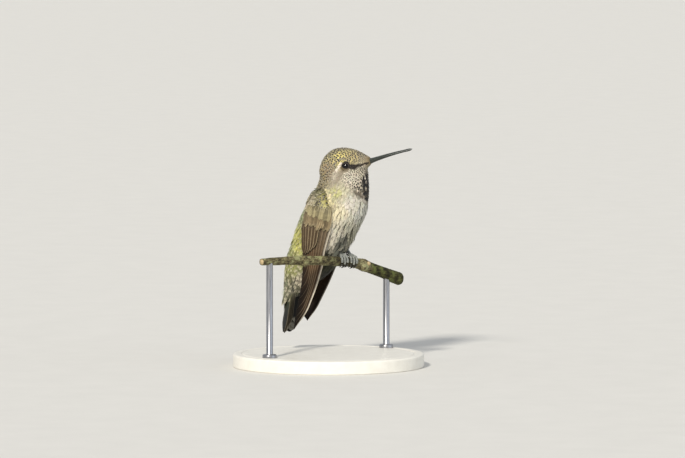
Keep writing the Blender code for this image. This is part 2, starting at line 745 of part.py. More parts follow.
def stand(collection, perch_room):
    base_profile = [(BASE_RADIUS, 0.0), (BASE_RADIUS, BASE_HEIGHT - BASE_BEVEL)]
    for step in range(1, 4):
        angle = math.pi / 2.0 * step / 3.0
        base_profile.append((BASE_RADIUS - BASE_BEVEL * (1.0 - math.cos(angle)),
                             BASE_HEIGHT - BASE_BEVEL * (1.0 - math.sin(angle))))
    base = lathe("stand_base", base_profile, 48, (-BIRD_AT.x, -BIRD_AT.y))
    finish(base, "stand_base", "stand", collection)
    for label, distance in zip(("left", "right"), ROD_AT):
        spot = perch_point(distance)
        low = BASE_HEIGHT + 0.02
        profile = [(ROD_FOOT_RADIUS, low), (ROD_FOOT_RADIUS, low + ROD_FOOT_HEIGHT * 0.7),
                   (ROD_FOOT_RADIUS - 0.4, low + ROD_FOOT_HEIGHT), (ROD_RADIUS, low + ROD_FOOT_HEIGHT),
                   (ROD_RADIUS, spot.z)]
        rod = lathe("stand_rod_" + label, profile, 16, (spot.x, spot.y))
        boolean(rod, perch_room, "DIFFERENCE")
        finish(rod, "stand_rod_" + label, "rod", collection)


# ---------------------------------------------------------------- assembly

def main():
    clear_scene()
    parts = new_collection(OBJECT_NAME)
    body = body_shell()

    rooms = []
    for side, label in ((-1, "right"), (1, "left")):
        rooms += wing(side, label, parts)
        fan = finish(tail_fan(side), "tail_" + label, "tail_green", parts)
        rooms.append(tail_fan(side, GAP))
        ball = finish(eyeball(side, EYE_RADIUS), "eye_" + label, "eye", parts)
        rooms.append(eyeball(side, EYE_RADIUS + 0.12))
        for piece in leg(side, label, parts):
            room = copy_of(piece, "leg_room")
            swell = room.modifiers.new("swell", "DISPLACE")
            swell.strength = 0.2 * MM
            swell.mid_level = 0.0
            apply_modifier(room, swell)
            rooms.append(room)
    bill(parts)
    rooms.append(perch_solid(0.15))
    rooms.append(mandible("bill_room", True, 0.12))
    rooms.append(mandible("bill_room", False, 0.12))
    for room in rooms:
        boolean(body, room, "DIFFERENCE")
    remove(rooms)
    parted_body(body, parts)
    remove([body])

    finish(perch_solid(), "perch", "bark", parts)
    perch_room = perch_solid(0.06)
    stand(parts, perch_room)
    remove([perch_room])

    for item in parts.objects:
        item.select_set(False)
        item.data.shade_smooth()
        item.data.set_sharp_from_angle(angle=math.radians(35.0))


main()
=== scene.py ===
"""The looks of a perched hummingbird model: skin, feathers, bill, eyes, feet, cut perch and display stand.

Lengths in the tables are millimetres in the bird's own frame, whose plane of symmetry is y = 0 and whose
feet stand at x = 0; world() moves them to the row frame in metres.
"""
import itertools
import math

import bpy
import numpy as np
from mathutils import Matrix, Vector, noise
from mathutils.bvhtree import BVHTree

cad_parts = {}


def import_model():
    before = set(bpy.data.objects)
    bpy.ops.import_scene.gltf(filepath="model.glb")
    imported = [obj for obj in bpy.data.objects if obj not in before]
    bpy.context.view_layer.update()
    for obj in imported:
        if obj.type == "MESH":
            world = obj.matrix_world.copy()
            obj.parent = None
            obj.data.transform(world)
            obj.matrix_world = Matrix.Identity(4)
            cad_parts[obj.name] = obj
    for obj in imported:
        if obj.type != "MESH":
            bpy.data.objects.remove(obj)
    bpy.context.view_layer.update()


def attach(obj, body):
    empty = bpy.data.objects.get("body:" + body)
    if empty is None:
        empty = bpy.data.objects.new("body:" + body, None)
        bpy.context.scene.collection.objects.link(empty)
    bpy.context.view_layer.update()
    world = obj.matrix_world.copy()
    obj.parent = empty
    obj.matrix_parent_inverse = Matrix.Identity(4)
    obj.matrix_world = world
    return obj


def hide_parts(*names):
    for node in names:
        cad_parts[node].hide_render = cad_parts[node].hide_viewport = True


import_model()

MM = 0.001
BIRD_AT = np.array((4.3, 8.9, 0.0))
RANDOM = np.random.default_rng(20)

# ---------------------------------------------------------------- named sizes, as the solids have them

BILL_BASE = np.array((9.4, 0.0, 77.4))
BILL_PITCH = math.radians(16.0)
BILL_LENGTH, BILL_BASE_HEIGHT, BILL_BASE_WIDTH = 17.4, 2.1, 2.3
AHEAD = np.array((math.cos(BILL_PITCH), 0.0, math.sin(BILL_PITCH)))
UPWARD = np.array((-math.sin(BILL_PITCH), 0.0, math.cos(BILL_PITCH)))
LEFTWARD = np.array((0.0, 1.0, 0.0))

# Head, backwards from the bill's base: distance, top, bottom, half width
HEAD_STATIONS = [
    (-0.2, 1.35, 1.20, 1.35), (2.4, 3.8, 2.5, 2.85), (5.0, 5.8, 3.9, 4.4), (8.0, 7.4, 5.6, 5.9),
    (11.0, 8.2, 7.2, 6.9), (14.0, 8.15, 8.0, 7.4), (17.0, 6.9, 8.0, 7.1), (19.0, 4.9, 7.0, 6.1),
    (20.3, 2.6, 5.0, 4.2),
]
# Neck, trunk and tail coverts: back x, back z, belly x, belly z, half width
TRUNK_STATIONS = [
    (-7.3, 78.3, 7.0, 75.6, 6.2), (-10.3, 74.0, 7.9, 72.6, 7.7), (-11.3, 70.3, 8.2, 68.2, 8.4),
    (-13.1, 66.3, 8.1, 63.6, 9.4), (-15.8, 61.9, 7.7, 58.9, 10.3), (-18.3, 57.5, 6.2, 54.7, 10.8),
    (-20.5, 52.5, 3.7, 50.2, 10.4), (-22.5, 47.2, 1.2, 45.2, 9.1), (-24.2, 42.4, -2.4, 40.6, 7.4),
    (-25.6, 37.6, -5.6, 36.4, 6.1), (-26.2, 32.2, -9.8, 32.4, 5.0), (-26.1, 26.6, -15.5, 29.0, 3.6),
]
EYE_BACK, EYE_UP, EYE_OUT, EYE_RADIUS = 8.6, 0.25, 4.55, 2.2

# Folded wing: z, leading x, trailing x, leading |y|, trailing |y| of its inner face
WING_STATIONS = [
    (68.0, -6.2, -11.2, 9.3, 7.6), (64.0, -4.2, -13.2, 9.9, 7.7), (60.0, -2.4, -14.2, 10.4, 8.0),
    (56.0, -2.1, -14.7, 10.6, 8.7), (52.0, -2.6, -14.8, 10.1, 9.0), (47.0, -4.4, -14.8, 9.2, 8.7),
    (42.0, -6.3, -14.8, 8.1, 8.0), (36.8, -8.2, -15.2, 7.2, 7.2), (30.5, -10.4, -16.1, 6.6, 6.5),
    (25.0, -12.7, -17.4, 6.2, 6.1), (19.2, -15.4, -18.8, 5.9, 5.8), (13.0, -19.6, -19.7, 5.7, 5.7),
]
# The feathered forearm's rows: z, how far it swells over the wing, how far its edges are drawn in
ARM_ROWS = (67.4, 66.6, 65.0, 62.6, 59.8, 56.8, 54.2, 52.2)
ARM_SWELL = (0.35, 0.95, 1.55, 2.0, 2.2, 2.15, 1.6, 0.9)
ARM_INSET = (2.2, 1.1, 0.3, 0.0, 0.0, 0.0, 0.0, 0.0)

LEFT_SWEEP = -1.4                 # how far back the left wing's tip lies from the right one's
TAIL_ROOT = np.array((-22.6, 0.0, 34.5))
TAIL_TIP = np.array((-27.5, 0.0, 11.4))
TAIL_PITCH = math.radians(40.0)
TAIL_LAYER = 0.30
TAIL_TIPS = (11.8, 11.5, 12.0, 13.1, 15.0)

PERCH_HEADING = np.array((-0.405, -0.9143, 0.0))
PERCH_BACK = np.array((-1.45, 0.0, 0.0))
# Buds and knobs of the bark: how far along the perch, the angle round it, and the size
BUDS = ((-8.9, 2.2, 1.15), (21.5, 2.7, 0.9))
KNOBS = ((7.5, -1.3, 0.30), (12.5, 0.9, 0.38), (16.0, -2.4, 0.3), (30.0, 0.6, 0.28), (-15.0, 1.7, 0.45),
         (-20.5, -0.9, 0.40), (-24.0, 2.6, 0.35))
# Distance along the perch, height of its middle, radius
PERCH_STATIONS = [
    (42.6, 41.1, 1.25), (36.5, 41.0, 1.45), (29.2, 40.9, 1.50), (23.5, 40.7, 1.70), (21.5, 40.6, 1.95),
    (19.4, 40.5, 1.72), (11.6, 40.0, 1.75), (4.4, 39.4, 1.85), (-1.9, 38.9, 1.90), (-7.6, 37.8, 2.00),
    (-10.2, 37.1, 2.35), (-12.8, 36.3, 2.10), (-19.5, 34.1, 2.15), (-24.7, 32.4, 2.30),
    (-29.1, 30.9, 2.40),
]
FOOT_SPREAD, TOE_RADIUS, TOE_SPACING = 2.45, 0.52, 1.45
# Each toe's place across the foot, and the angles round the perch where it starts and ends
TOE_TURNS = {
    "inner": (1, 0.10, 1.72), "middle": (0, 0.10, 1.95), "outer": (-1, 0.10, 1.72), "hind": (0, -0.15, -1.55),
}
KNEE = (-4.0, 3.4, 46.6)
# Down the feathered thigh: x, |y|, z, radius
THIGH = [(-4.8, 3.4, 50.0, 2.7), (-3.8, 3.3, 47.0, 2.7), (-3.0, 3.1, 44.6, 2.5), (-2.3, 2.9, 42.3, 1.9)]
BASE_RADIUS, BASE_HEIGHT, BASE_BEVEL = 36.0, 5.0, 0.8
ROD_AT = (38.6, -22.4)

FLESH = ("head", "neck", "trunk", "rump_uppertail_coverts", "undertail_coverts")
SIDES = ((-1.0, "right"), (1.0, "left"))
FULL_TURN = 2.0 * math.pi


# ---------------------------------------------------------------- small helpers
# The bird and its perch follow tables of sections, which the modelling operators can't, so their pieces
# are built from rings and grids of points. The eyeballs, the stand and the floor are modelled.

def world(points):
    """Points of the bird's frame in metres of the row frame."""
    return (np.asarray(points, float) + BIRD_AT) * MM


def head_point(back, up, out):
    """A point of the head, from distances behind, above and to the left of the bill's base."""
    return BILL_BASE - AHEAD * back + UPWARD * up + LEFTWARD * out


def unit(vectors):
    """Vectors made one long."""
    return vectors / np.maximum(np.linalg.norm(vectors, axis=-1, keepdims=True), 1e-9)


def ease(low, high, value):
    """0 below low, 1 above high, smooth between them; low may be the greater."""
    share = np.clip((value - low) / (high - low), 0.0, 1.0)
    return share * share * (3.0 - 2.0 * share)


def mix(first, last, share):
    """The first value where share is 0, the last where it is 1."""
    return first * (1.0 - share) + last * share


def refine(rows, per):
    """A table's rows with smooth ones added between them."""
    rows = np.array(rows, float)
    wide = np.vstack((2 * rows[0] - rows[1], rows, 2 * rows[-1] - rows[-2]))
    made = []
    for index in range(1, len(rows)):
        before, first, last, after = wide[index - 1:index + 3]
        for step in range(per):
            t = step / per
            made.append(0.5 * (2 * first + (last - before) * t
                               + (2 * before - 5 * first + 4 * last - after) * t * t
                               + (3 * first - before - 3 * last + after) * t ** 3))
    made.append(rows[-1])
    return np.array(made)


def linear(code):
    """An sRGB hex value as linear red, green and blue."""
    parts = [int(code[i:i + 2], 16) / 255.0 for i in (1, 3, 5)]
    return np.array([c / 12.92 if c <= 0.04045 else ((c + 0.055) / 1.055) ** 2.4 for c in parts])


def deselect():
    """Leaves nothing selected."""
    for item in bpy.context.selected_objects:
        item.select_set(False)


def gather(items, field, width, kind=float):
    """A field of all of a mesh's points, corners or triangles, one row for each."""
    values = np.empty(len(items) * width, kind)
    items.foreach_get(field, values)
    return values.reshape(-1, width)


def build(name, points, *groups):
    """An object from points in the bird's frame and groups of faces with equal corner counts."""
    mesh = bpy.data.meshes.new(name)
    mesh.vertices.add(len(points))
    mesh.vertices.foreach_set("co", world(points).ravel())
    groups = [np.asarray(g, np.int32) for g in groups if len(g)]
    corners = np.concatenate([g.ravel() for g in groups])
    sizes = np.concatenate([np.full(len(g), g.shape[1]) for g in groups])
    mesh.loops.add(len(corners))
    mesh.loops.foreach_set("vertex_index", corners)
    mesh.polygons.add(len(sizes))
    mesh.polygons.foreach_set("loop_start", np.concatenate(([0], np.cumsum(sizes)[:-1])).astype(np.int32))
    mesh.update(calc_edges=True)
    mesh.polygons.foreach_set("use_smooth", np.ones(len(sizes), bool))
    item = bpy.data.objects.new(name, mesh)
    bpy.context.scene.collection.objects.link(item)
    return item


def paint(item, name, values):
    """A colour attribute at the points."""
    layer = item.data.color_attributes.new(name, "FLOAT_COLOR", "POINT")
    full = np.ones((len(values), 4))
    full[:, :3] = values
    layer.data.foreach_set("color", full.ravel())


def unwrap(item, name, values):
    """A UV map from one value for each point."""
    layer = item.data.uv_layers.new(name=name)
    corners = gather(item.data.loops, "vertex_index", 1, np.int32)[:, 0]
    layer.data.foreach_set("uv", np.asarray(values, float)[corners].ravel())


def settle(item, slot, made_of, *nodes):
    """Gives a finished piece its material and its body and hides the solids that it stands for; slot is not
    used.
    """
    item.data.materials.clear()
    item.data.materials.append(made_of)
    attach(item, "root")
    if nodes:
        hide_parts(*nodes)
    return item


def tube_faces(rows, sides):
    """Quads of a tube of rings."""
    row, side = np.meshgrid(np.arange(rows - 1), np.arange(sides), indexing="ij")
    row, side = row.ravel(), side.ravel()
    after = (side + 1) % sides
    return np.stack((row * sides + side, row * sides + after, (row + 1) * sides + after,
                     (row + 1) * sides + side), axis=1)


def capped(name, rings):
    """A closed body through rings of equal count, each end closed by a fan."""
    rings = np.asarray(rings, float)
    rows, sides = rings.shape[:2]
    points = np.vstack((rings.reshape(-1, 3), rings[0].mean(0), rings[-1].mean(0)))
    side = np.arange(sides)
    after = (side + 1) % sides
    start = np.stack((after, side, np.full(sides, rows * sides)), axis=1)
    base = (rows - 1) * sides
    end = np.stack((base + side, base + after, np.full(sides, rows * sides + 1)), axis=1)
    return build(name, points, tube_faces(rows, sides), np.vstack((start, end)))


def join(pieces, name):
    """Makes one object of several, the first."""
    deselect()
    for piece in pieces:
        piece.select_set(True)
    bpy.context.view_layer.objects.active = pieces[0]
    bpy.ops.object.join()
    deselect()
    pieces[0].name = pieces[0].data.name = name
    return pieces[0]


def outward(item):
    """Turns a closed piece's faces outwards."""
    bpy.context.view_layer.objects.active = item
    item.select_set(True)
    bpy.ops.object.mode_set(mode="EDIT")
    bpy.ops.mesh.select_all(action="SELECT")
    bpy.ops.mesh.normals_make_consistent(inside=False)
    bpy.ops.object.mode_set(mode="OBJECT")
    item.select_set(False)
    return item


def oval(centre, up, side, top, bottom, half, count):
    """A ring of points round a centre, with its own reach above and below."""
    angle = FULL_TURN * (np.arange(count) + 0.5) / count
    rise = np.cos(angle)
    reach = np.where(rise > 0, top, bottom) * rise
    return centre + up * reach[:, None] + side * (np.sin(angle) * half)[:, None]


def round_tube(path, radii, sides):
    """Rings square to a path."""
    path = np.asarray(path, float)
    tangent = unit(np.gradient(path, axis=0))
    guide = np.array((0.0, 0.0, 1.0)) if abs(tangent[0][2]) < 0.8 else np.array((1.0, 0.0, 0.0))
    rings = []
    angle = FULL_TURN * np.arange(sides) / sides
    for point, along, radius in zip(path, tangent, radii):
        across = unit(np.cross(along, guide))
        guide = unit(np.cross(across, along))
        rings.append(point + guide * (np.cos(angle) * radius)[:, None]
                     + across * (np.sin(angle) * radius)[:, None])
    return np.array(rings)


# ---------------------------------------------------------------- materials
# A pattern's scale is 1000 over its grain in millimetres, so 2500 draws a grain of 0.4 mm.

def add(tree, kind, inputs=(), give=None, **settings):
    """Adds a node with its settings and its inputs, each a value, a hex colour or another node's output.

    kind is its type without ShaderNode, and inputs are given by name or in order. It returns the output
    named by give, or the first."""
    made = tree.nodes.new("ShaderNode" + kind)
    stops = settings.pop("stops", ())
    for name, value in settings.items():
        setattr(made, name, value)
    for key, value in inputs.items() if isinstance(inputs, dict) else enumerate(inputs):
        socket = made.inputs[key] if isinstance(key, int) else next(
            s for s in made.inputs if key in (s.identifier, s.name))
        if isinstance(value, bpy.types.NodeSocket):
            tree.links.new(value, socket)
        else:
            socket.default_value = (*linear(value), 1.0) if isinstance(value, str) else value
    for index, (place, code) in enumerate(stops):
        ramp = made.color_ramp.elements
        stop = ramp[index] if index < 2 else ramp.new(place)
        stop.position, stop.color = place, (*linear(code), 1.0)
    return next(s for s in made.outputs if give is None or give in (s.identifier, s.name))


def new_material(name, **constants):
    """An empty material with a Principled shader whose constant sockets are set."""
    made = bpy.data.materials.new(name)
    made.use_nodes = True
    shader = made.node_tree.nodes["Principled BSDF"]
    for key, value in constants.items():
        shader.inputs[key.replace("_", " ")].default_value = value
    return made, made.node_tree, shader.inputs


SPOT = "#1f1a13"                   # the dark middle of a spotted feather


def feather_material(name, roughness, shine, barb_rows, barb_lean, relief, rim):
    """Keratin vanes: matt, finely ribbed by the barbs, dark in the middle and worn pale at the rim.

    Real barbs are about 0.05 mm apart, too fine to show, so barb_rows draws fewer down a vane."""
    made, tree, shader = new_material(name, IOR=1.54, Specular_IOR_Level=shine)
    tint = add(tree, "Attribute", attribute_name="tint")
    marking = add(tree, "Attribute", attribute_name="marking")
    split = {"Color": marking}
    spotted, rimmed, glossy = (
        add(tree, "SeparateColor", split, give=c) for c in ("Red", "Green", "Blue"))
    vane = add(tree, "UVMap", uv_map="vane")
    over, along = (add(tree, "SeparateXYZ", {"Vector": vane}, give=c) for c in ("X", "Y"))
    centred = add(tree, "Math", (over, 0.5), operation="SUBTRACT")
    across = add(tree, "Math", (centred,), operation="ABSOLUTE")
    across = add(tree, "Math", (across, 2.0), operation="MULTIPLY")
    down = add(tree, "Math", (along, 2.6, -2.03), operation="MULTIPLY_ADD")
    far = add(tree, "CombineXYZ", {"X": across, "Y": down})
    far = add(tree, "VectorMath", (far,), give="Value", operation="LENGTH")
    room = add(tree, "Math", (spotted, 0.55, 0.45), operation="MULTIPLY_ADD")
    far = add(tree, "Math", (far, room), operation="DIVIDE")
    spot = add(tree, "MapRange", {"Value": far, "From Min": 0.62, "From Max": 0.36},
               interpolation_type="SMOOTHSTEP")
    spot = add(tree, "Math", (spot, spotted), operation="MULTIPLY", use_clamp=True)
    edge = add(tree, "Math", (across, along), operation="MAXIMUM")
    edge = add(tree, "MapRange", {"Value": edge, "From Min": 0.74, "From Max": 0.98},
               interpolation_type="SMOOTHSTEP")
    edge = add(tree, "Math", (edge, rimmed), operation="MULTIPLY")
    lean = add(tree, "Math", (across, -barb_lean), operation="MULTIPLY")
    barb = add(tree, "Math", (along, barb_rows, lean), operation="MULTIPLY_ADD")
    barb = add(tree, "Math", (barb, 2.0 * math.pi), operation="MULTIPLY")
    barb = add(tree, "Math", (barb,), operation="SINE")
    here = add(tree, "TexCoord", give="Object")
    mottle = add(tree, "TexNoise", {"Vector": here, "Scale": 900.0, "Detail": 3.0})
    shade = add(tree, "Math", (barb, 0.10, 1.0), operation="MULTIPLY_ADD")
    grain = add(tree, "MapRange", {"Value": mottle, "From Min": 0.3, "From Max": 0.7,
                                             "To Min": 0.82, "To Max": 1.18})
    # Darker towards the covered root: partly the grey down at a feather's base, partly painted shade where
    # the feathers overlap
    root = add(tree, "MapRange", {"Value": along, "From Min": 0.1, "From Max": 0.55,
                                            "To Min": 0.66, "To Max": 1.0})
    shade = add(tree, "Math", (shade, grain), operation="MULTIPLY")
    shade = add(tree, "Math", (shade, root), operation="MULTIPLY")
    colour = add(tree, "VectorMath", {0: tint, "Scale": shade}, operation="SCALE")
    colour = add(tree, "Mix", {"Factor_Float": spot, "A_Color": colour, "B_Color": SPOT},
                 give="Result_Color", data_type="RGBA")
    colour = add(tree, "Mix", {"Factor_Float": edge, "A_Color": colour, "B_Color": rim},
                 give="Result_Color", data_type="RGBA")
    tree.links.new(colour, shader["Base Color"])
    rough = add(tree, "MapRange", {"Value": glossy, "To Min": roughness, "To Max": roughness * 0.62})
    tree.links.new(rough, shader["Roughness"])
    bump = add(tree, "Bump", {"Height": barb, "Strength": relief, "Distance": 0.00003})
    tree.links.new(bump, shader["Normal"])
    return made


def surface_material(name, stops, scale, roughness, relief, stretch=(1.0, 1.0, 1.0), **constants):
    """A surface whose colour, gloss and fine relief all come from one layered grain."""
    made, tree, shader = new_material(name, **constants)
    here = add(tree, "TexCoord", give="Object")
    here = add(tree, "Mapping", {"Vector": here, "Scale": stretch})
    grain = add(tree, "TexNoise", {"Vector": here, "Scale": scale, "Detail": 6.0, "Roughness": 0.62})
    colour = add(tree, "ValToRGB", {"Fac": grain}, stops=stops)
    tree.links.new(colour, shader["Base Color"])
    rough = add(tree, "MapRange", {"Value": grain, "From Min": 0.3, "From Max": 0.7,
                                             "To Min": roughness[0], "To Max": roughness[1]})
    tree.links.new(rough, shader["Roughness"])
    bump = add(tree, "Bump", {"Height": grain, "Strength": relief[0], "Distance": relief[1]})
    tree.links.new(bump, shader["Normal"])
    return made


def skin_material():
    """Thin skin under the coat, in the plumage's own colours, with short down as fine grain."""
    made, tree, shader = new_material("downy_skin", IOR=1.45, Specular_IOR_Level=0.2)
    tint = add(tree, "Attribute", attribute_name="tint")
    here = add(tree, "TexCoord", give="Object")
    down = add(tree, "TexNoise", {"Vector": here, "Scale": 2600.0, "Detail": 4.0})
    shade = add(tree, "MapRange", {"Value": down, "From Min": 0.3, "From Max": 0.7,
                                             "To Min": 0.50, "To Max": 0.85})
    colour = add(tree, "VectorMath", {0: tint, "Scale": shade}, operation="SCALE")
    tree.links.new(colour, shader["Base Color"])
    shader["Roughness"].default_value = 0.85
    bump = add(tree, "Bump", {"Height": down, "Strength": 0.6, "Distance": 0.0001})
    tree.links.new(bump, shader["Normal"])
    return made


def bark_material():
    """Weathered bark: fibres along the twig, cracks between them and grey-green lichen in patches."""
    made, tree, shader = new_material("dry_bark", IOR=1.45, Specular_IOR_Level=0.3, Roughness=0.88)
    here = add(tree, "TexCoord", give="Object")
    turn = -math.atan2(PERCH_HEADING[1], PERCH_HEADING[0])
    turned = add(tree, "Mapping", {"Vector": here, "Rotation": (0.0, 0.0, turn)})   # X runs along the twig
    turned = add(tree, "Mapping", {"Vector": turned, "Scale": (0.22, 1.0, 1.0)})
    fibre = add(tree, "TexNoise", {"Vector": turned, "Scale": 2400.0, "Detail": 6.0, "Roughness": 0.65})
    blotch = add(tree, "TexNoise", {"Vector": here, "Scale": 420.0, "Detail": 5.0, "Roughness": 0.6})
    colour = add(tree, "ValToRGB", {"Fac": fibre},
                 stops=[(0.32, "#1a160e"), (0.44, "#4a432e"), (0.56, "#6d6549"), (0.72, "#958c6b")])
    patch = add(tree, "MapRange", {"Value": blotch, "From Min": 0.52, "From Max": 0.60, "To Max": 0.75})
    colour = add(tree, "Mix", {"Factor_Float": patch, "A_Color": colour, "B_Color": "#90906a"},
                 give="Result_Color", data_type="RGBA")
    dark = add(tree, "MapRange", {"Value": blotch, "From Min": 0.46, "From Max": 0.36, "To Max": 0.8})
    colour = add(tree, "Mix", {"Factor_Float": dark, "A_Color": colour, "B_Color": "#2b261c"},
                 give="Result_Color", data_type="RGBA")
    # Painted light and shade along the twig: lit at the near end, painted shade under the bird, lit again
    # beyond it, and darker and greener at the far end, painted shade there too
    across = add(tree, "SeparateXYZ", {"Vector": here}, give="Y")
    along = add(tree, "MapRange", {"Value": across, "From Min": -0.015, "From Max": 0.030})
    shade = add(tree, "ValToRGB", {"Fac": along},
                stops=[(0.236, "#ebebe4"), (0.322, "#bcbcb4"), (0.558, "#bcbcb4"), (0.633, "#ffffff"),
                       (0.751, "#ffffff"), (0.793, "#949e7a")])
    colour = add(tree, "VectorMath", (colour, shade), operation="MULTIPLY")
    colour = add(tree, "VectorMath", {0: colour, "Scale": 1.3}, operation="SCALE")
    tree.links.new(colour, shader["Base Color"])
    bump = add(tree, "Bump", {"Height": fibre, "Strength": 0.7, "Distance": 0.00025})
    tree.links.new(bump, shader["Normal"])
    return made


# Soft body feathers: silky at most, with a broken pale rim that makes each one read
CONTOUR = feather_material("contour_feathers", 0.62, 0.35, 9.0, 1.6, 0.35, "#d9cfb4")
# Stiff wing and tail feathers: closer barbs, duller, with a brown worn rim
FLIGHT = feather_material("flight_feathers", 0.60, 0.15, 70.0, 7.0, 0.30, "#a09278")
SKIN = skin_material()
# Horn worn smooth: a soft highlight runs down the bill
HORN = surface_material("dark_bill_horn", [(0.3, "#151a14"), (0.7, "#2b332b")], 1400.0, (0.36, 0.50),
                        (0.25, 0.00005), stretch=(0.3, 1.0, 1.0), IOR=1.55)
# Denser horn: a small sharp highlight on each claw
CLAW_HORN = surface_material("claw_horn", [(0.3, "#171614"), (0.7, "#35322c")], 2500.0, (0.30, 0.45),
                             (0.2, 0.00004), IOR=1.55)
# Wet cornea: black and glossy as a mirror, so it holds one hard glint
WET_EYE = surface_material("wet_black_eye", [(0.35, "#070505"), (0.7, "#120c08")], 900.0, (0.03, 0.06),
                           (0.0, 0.00001), IOR=1.38)
# Bare beaded skin: dull, so it frames the wet eye
LID = surface_material("bare_eyelid", [(0.3, "#1f1914"), (0.7, "#3a3028")], 5000.0, (0.5, 0.7),
                       (0.6, 0.00006), IOR=1.45)
# Dry scales: grey, paler where they are worn, half matt
SCALY = surface_material("foot_scales", [(0.3, "#3c3e3c"), (0.5, "#727570"), (0.75, "#b5b5aa")], 2200.0,
                         (0.45, 0.65), (0.6, 0.00006), IOR=1.5)
BARK = bark_material()
# Sawn end grain: pale and dry, without a highlight
CUT_WOOD = surface_material("sawn_wood", [(0.3, "#a08a62"), (0.7, "#c4b088")], 2400.0, (0.6, 0.8),
                            (0.2, 0.00003), stretch=(1.0, 0.3, 1.0), IOR=1.5)
# Sprayed satin lacquer: even, with a wide soft highlight
LACQUER = surface_material("warm_white_lacquer", [(0.3, "#dcd8ce"), (0.7, "#e6e3da")], 260.0, (0.36, 0.46),
                           (0.12, 0.00004), IOR=1.5)
# Steel brushed along the rod: its highlight breaks into long streaks
STEEL = surface_material("brushed_steel", [(0.3, "#8f8f92"), (0.7, "#b5b5b8")], 3800.0, (0.24, 0.40),
                         (0.12, 0.00002), stretch=(1.0, 1.0, 0.04), Metallic=1.0)
# Smooth plaster: matt and pale, it throws soft light back up
PLASTER = surface_material("pale_floor", [(0.3, "#d2d0cb"), (0.7, "#d6d4cf")], 60.0, (0.8, 0.9),
                           (0.05, 0.0002), IOR=1.45)


# ---------------------------------------------------------------- skin

def wing_table(column, z):
    """A column of the folded wing's table at heights z."""
    rows = refine(WING_STATIONS, 4)[::-1]
    return np.interp(z, rows[:, 0], rows[:, column])


def wing_edges(z):
    """The x of the folded wing's leading and trailing edges at heights z."""
    return wing_table(1, z), wing_table(2, z)


def sheet_y(x, z, out):
    """How far a point over the folded wing is from the plane of symmetry; out is its height."""
    leading, trailing = wing_edges(z)
    share = np.clip((x - leading) / np.minimum(trailing - leading, -0.8), -0.1, 1.1)
    camber = 0.75 * np.clip((z - 10.0) / 30.0, 0.0, 1.0)
    near, far = wing_table(3, z), wing_table(4, z)
    return near + (far - near) * share + camber * 4.0 * share * (1.0 - share) + out


def arch(share):
    """The forearm's cross-section, from its leading edge (0) to its trailing edge (1)."""
    return 0.2 + 0.8 * np.sin(math.pi * (0.04 + 0.90 * share)) ** 0.6


def pad_rise(x, z):
    """How high the feathered forearm stands over the wing's sheet."""
    rows = refine(np.stack((ARM_ROWS, ARM_SWELL), axis=1), 3)[::-1]
    leading, trailing = wing_edges(z)
    share = np.clip((x - leading) / (trailing - leading), 0.0, 1.0)
    return np.interp(z, rows[:, 0], rows[:, 1]) * arch(share)


PAD_DEPTH = 2.4                    # how far the forearm reaches in under the wing's sheet


def wing_pad(side):
    """The feathered forearm, let into the body's side so that the skin runs over both."""
    rings = []
    rows = refine(np.stack((ARM_ROWS, ARM_SWELL, ARM_INSET), axis=1), 3)
    share = np.linspace(0.0, 1.0, 13)
    for z, swell, inset in rows:
        leading, trailing = wing_edges(z)
        leading, trailing = leading - inset, trailing + inset
        x, level = leading + (trailing - leading) * share, np.full(len(share), z)
        outer = np.stack((x, side * sheet_y(x, z, swell * arch(share)), level), axis=1)
        inner = np.stack((x, side * (sheet_y(x, z, 0.0) - PAD_DEPTH), level), axis=1)[::-1]
        rings.append(np.vstack((outer, inner)))
    return capped("pad", rings)


SKIN_GRAIN = 0.00042               # the size of the skin's faces, in metres


def apply_modifier(item, kind, **settings):
    """Gives a piece a modifier with these settings and makes it part of its mesh."""
    modifier = item.modifiers.new(kind.lower(), kind)
    for name, value in settings.items():
        setattr(modifier, name, value)
    bpy.context.view_layer.objects.active = item
    bpy.ops.object.modifier_apply(modifier=modifier.name)


def body_hull():
    """The coat's outer form: head, trunk and forearms as closed lofts that reach into one another."""
    head = [oval(head_point(back, 0, 0), UPWARD, LEFTWARD, top, bottom, half, 48)
            for back, top, bottom, half in refine(HEAD_STATIONS, 4)]
    trunk = []
    for back_x, back_z, belly_x, belly_z, half in refine(TRUNK_STATIONS, 4):
        back, belly = np.array((back_x, 0.0, back_z)), np.array((belly_x, 0.0, belly_z))
        reach = np.linalg.norm(back - belly) / 2.0
        trunk.append(oval((back + belly) / 2.0, unit(back - belly), LEFTWARD, reach, reach, half, 56))
    lofts = [capped("head_loft", head), capped("trunk_loft", trunk)]
    lofts += [wing_pad(side) for side, _ in SIDES]
    for side, _ in SIDES:
        path = [(x, side * y, z) for x, y, z, _ in THIGH]
        lofts.append(capped("thigh", round_tube(path, [radius for *_, radius in THIGH], 20)))
    for loft in lofts:
        outward(loft)
    hull = join([lofts[1], *lofts], "skin")
    apply_modifier(hull, "REMESH", mode="VOXEL", voxel_size=SKIN_GRAIN, use_smooth_shade=True)
    apply_modifier(hull, "SMOOTH", factor=0.5, iterations=9)
    return hull


def mesh_arrays(item):
    """Points (bird's frame), triangles, their corners' loops, smooth normals and the triangles' own."""
    mesh = item.data
    mesh.calc_loop_triangles()
    points = gather(mesh.vertices, "co", 3) / MM - BIRD_AT
    triangles = gather(mesh.loop_triangles, "vertices", 3, np.int32)
    loops = gather(mesh.loop_triangles, "loops", 3, np.int32)
    flat = np.cross(points[triangles[:, 1]] - points[triangles[:, 0]],
                    points[triangles[:, 2]] - points[triangles[:, 0]])
    normals = np.zeros_like(points)
    for corner in range(3):
        np.add.at(normals, triangles[:, corner], flat)
    return points, triangles, loops, unit(normals), flat


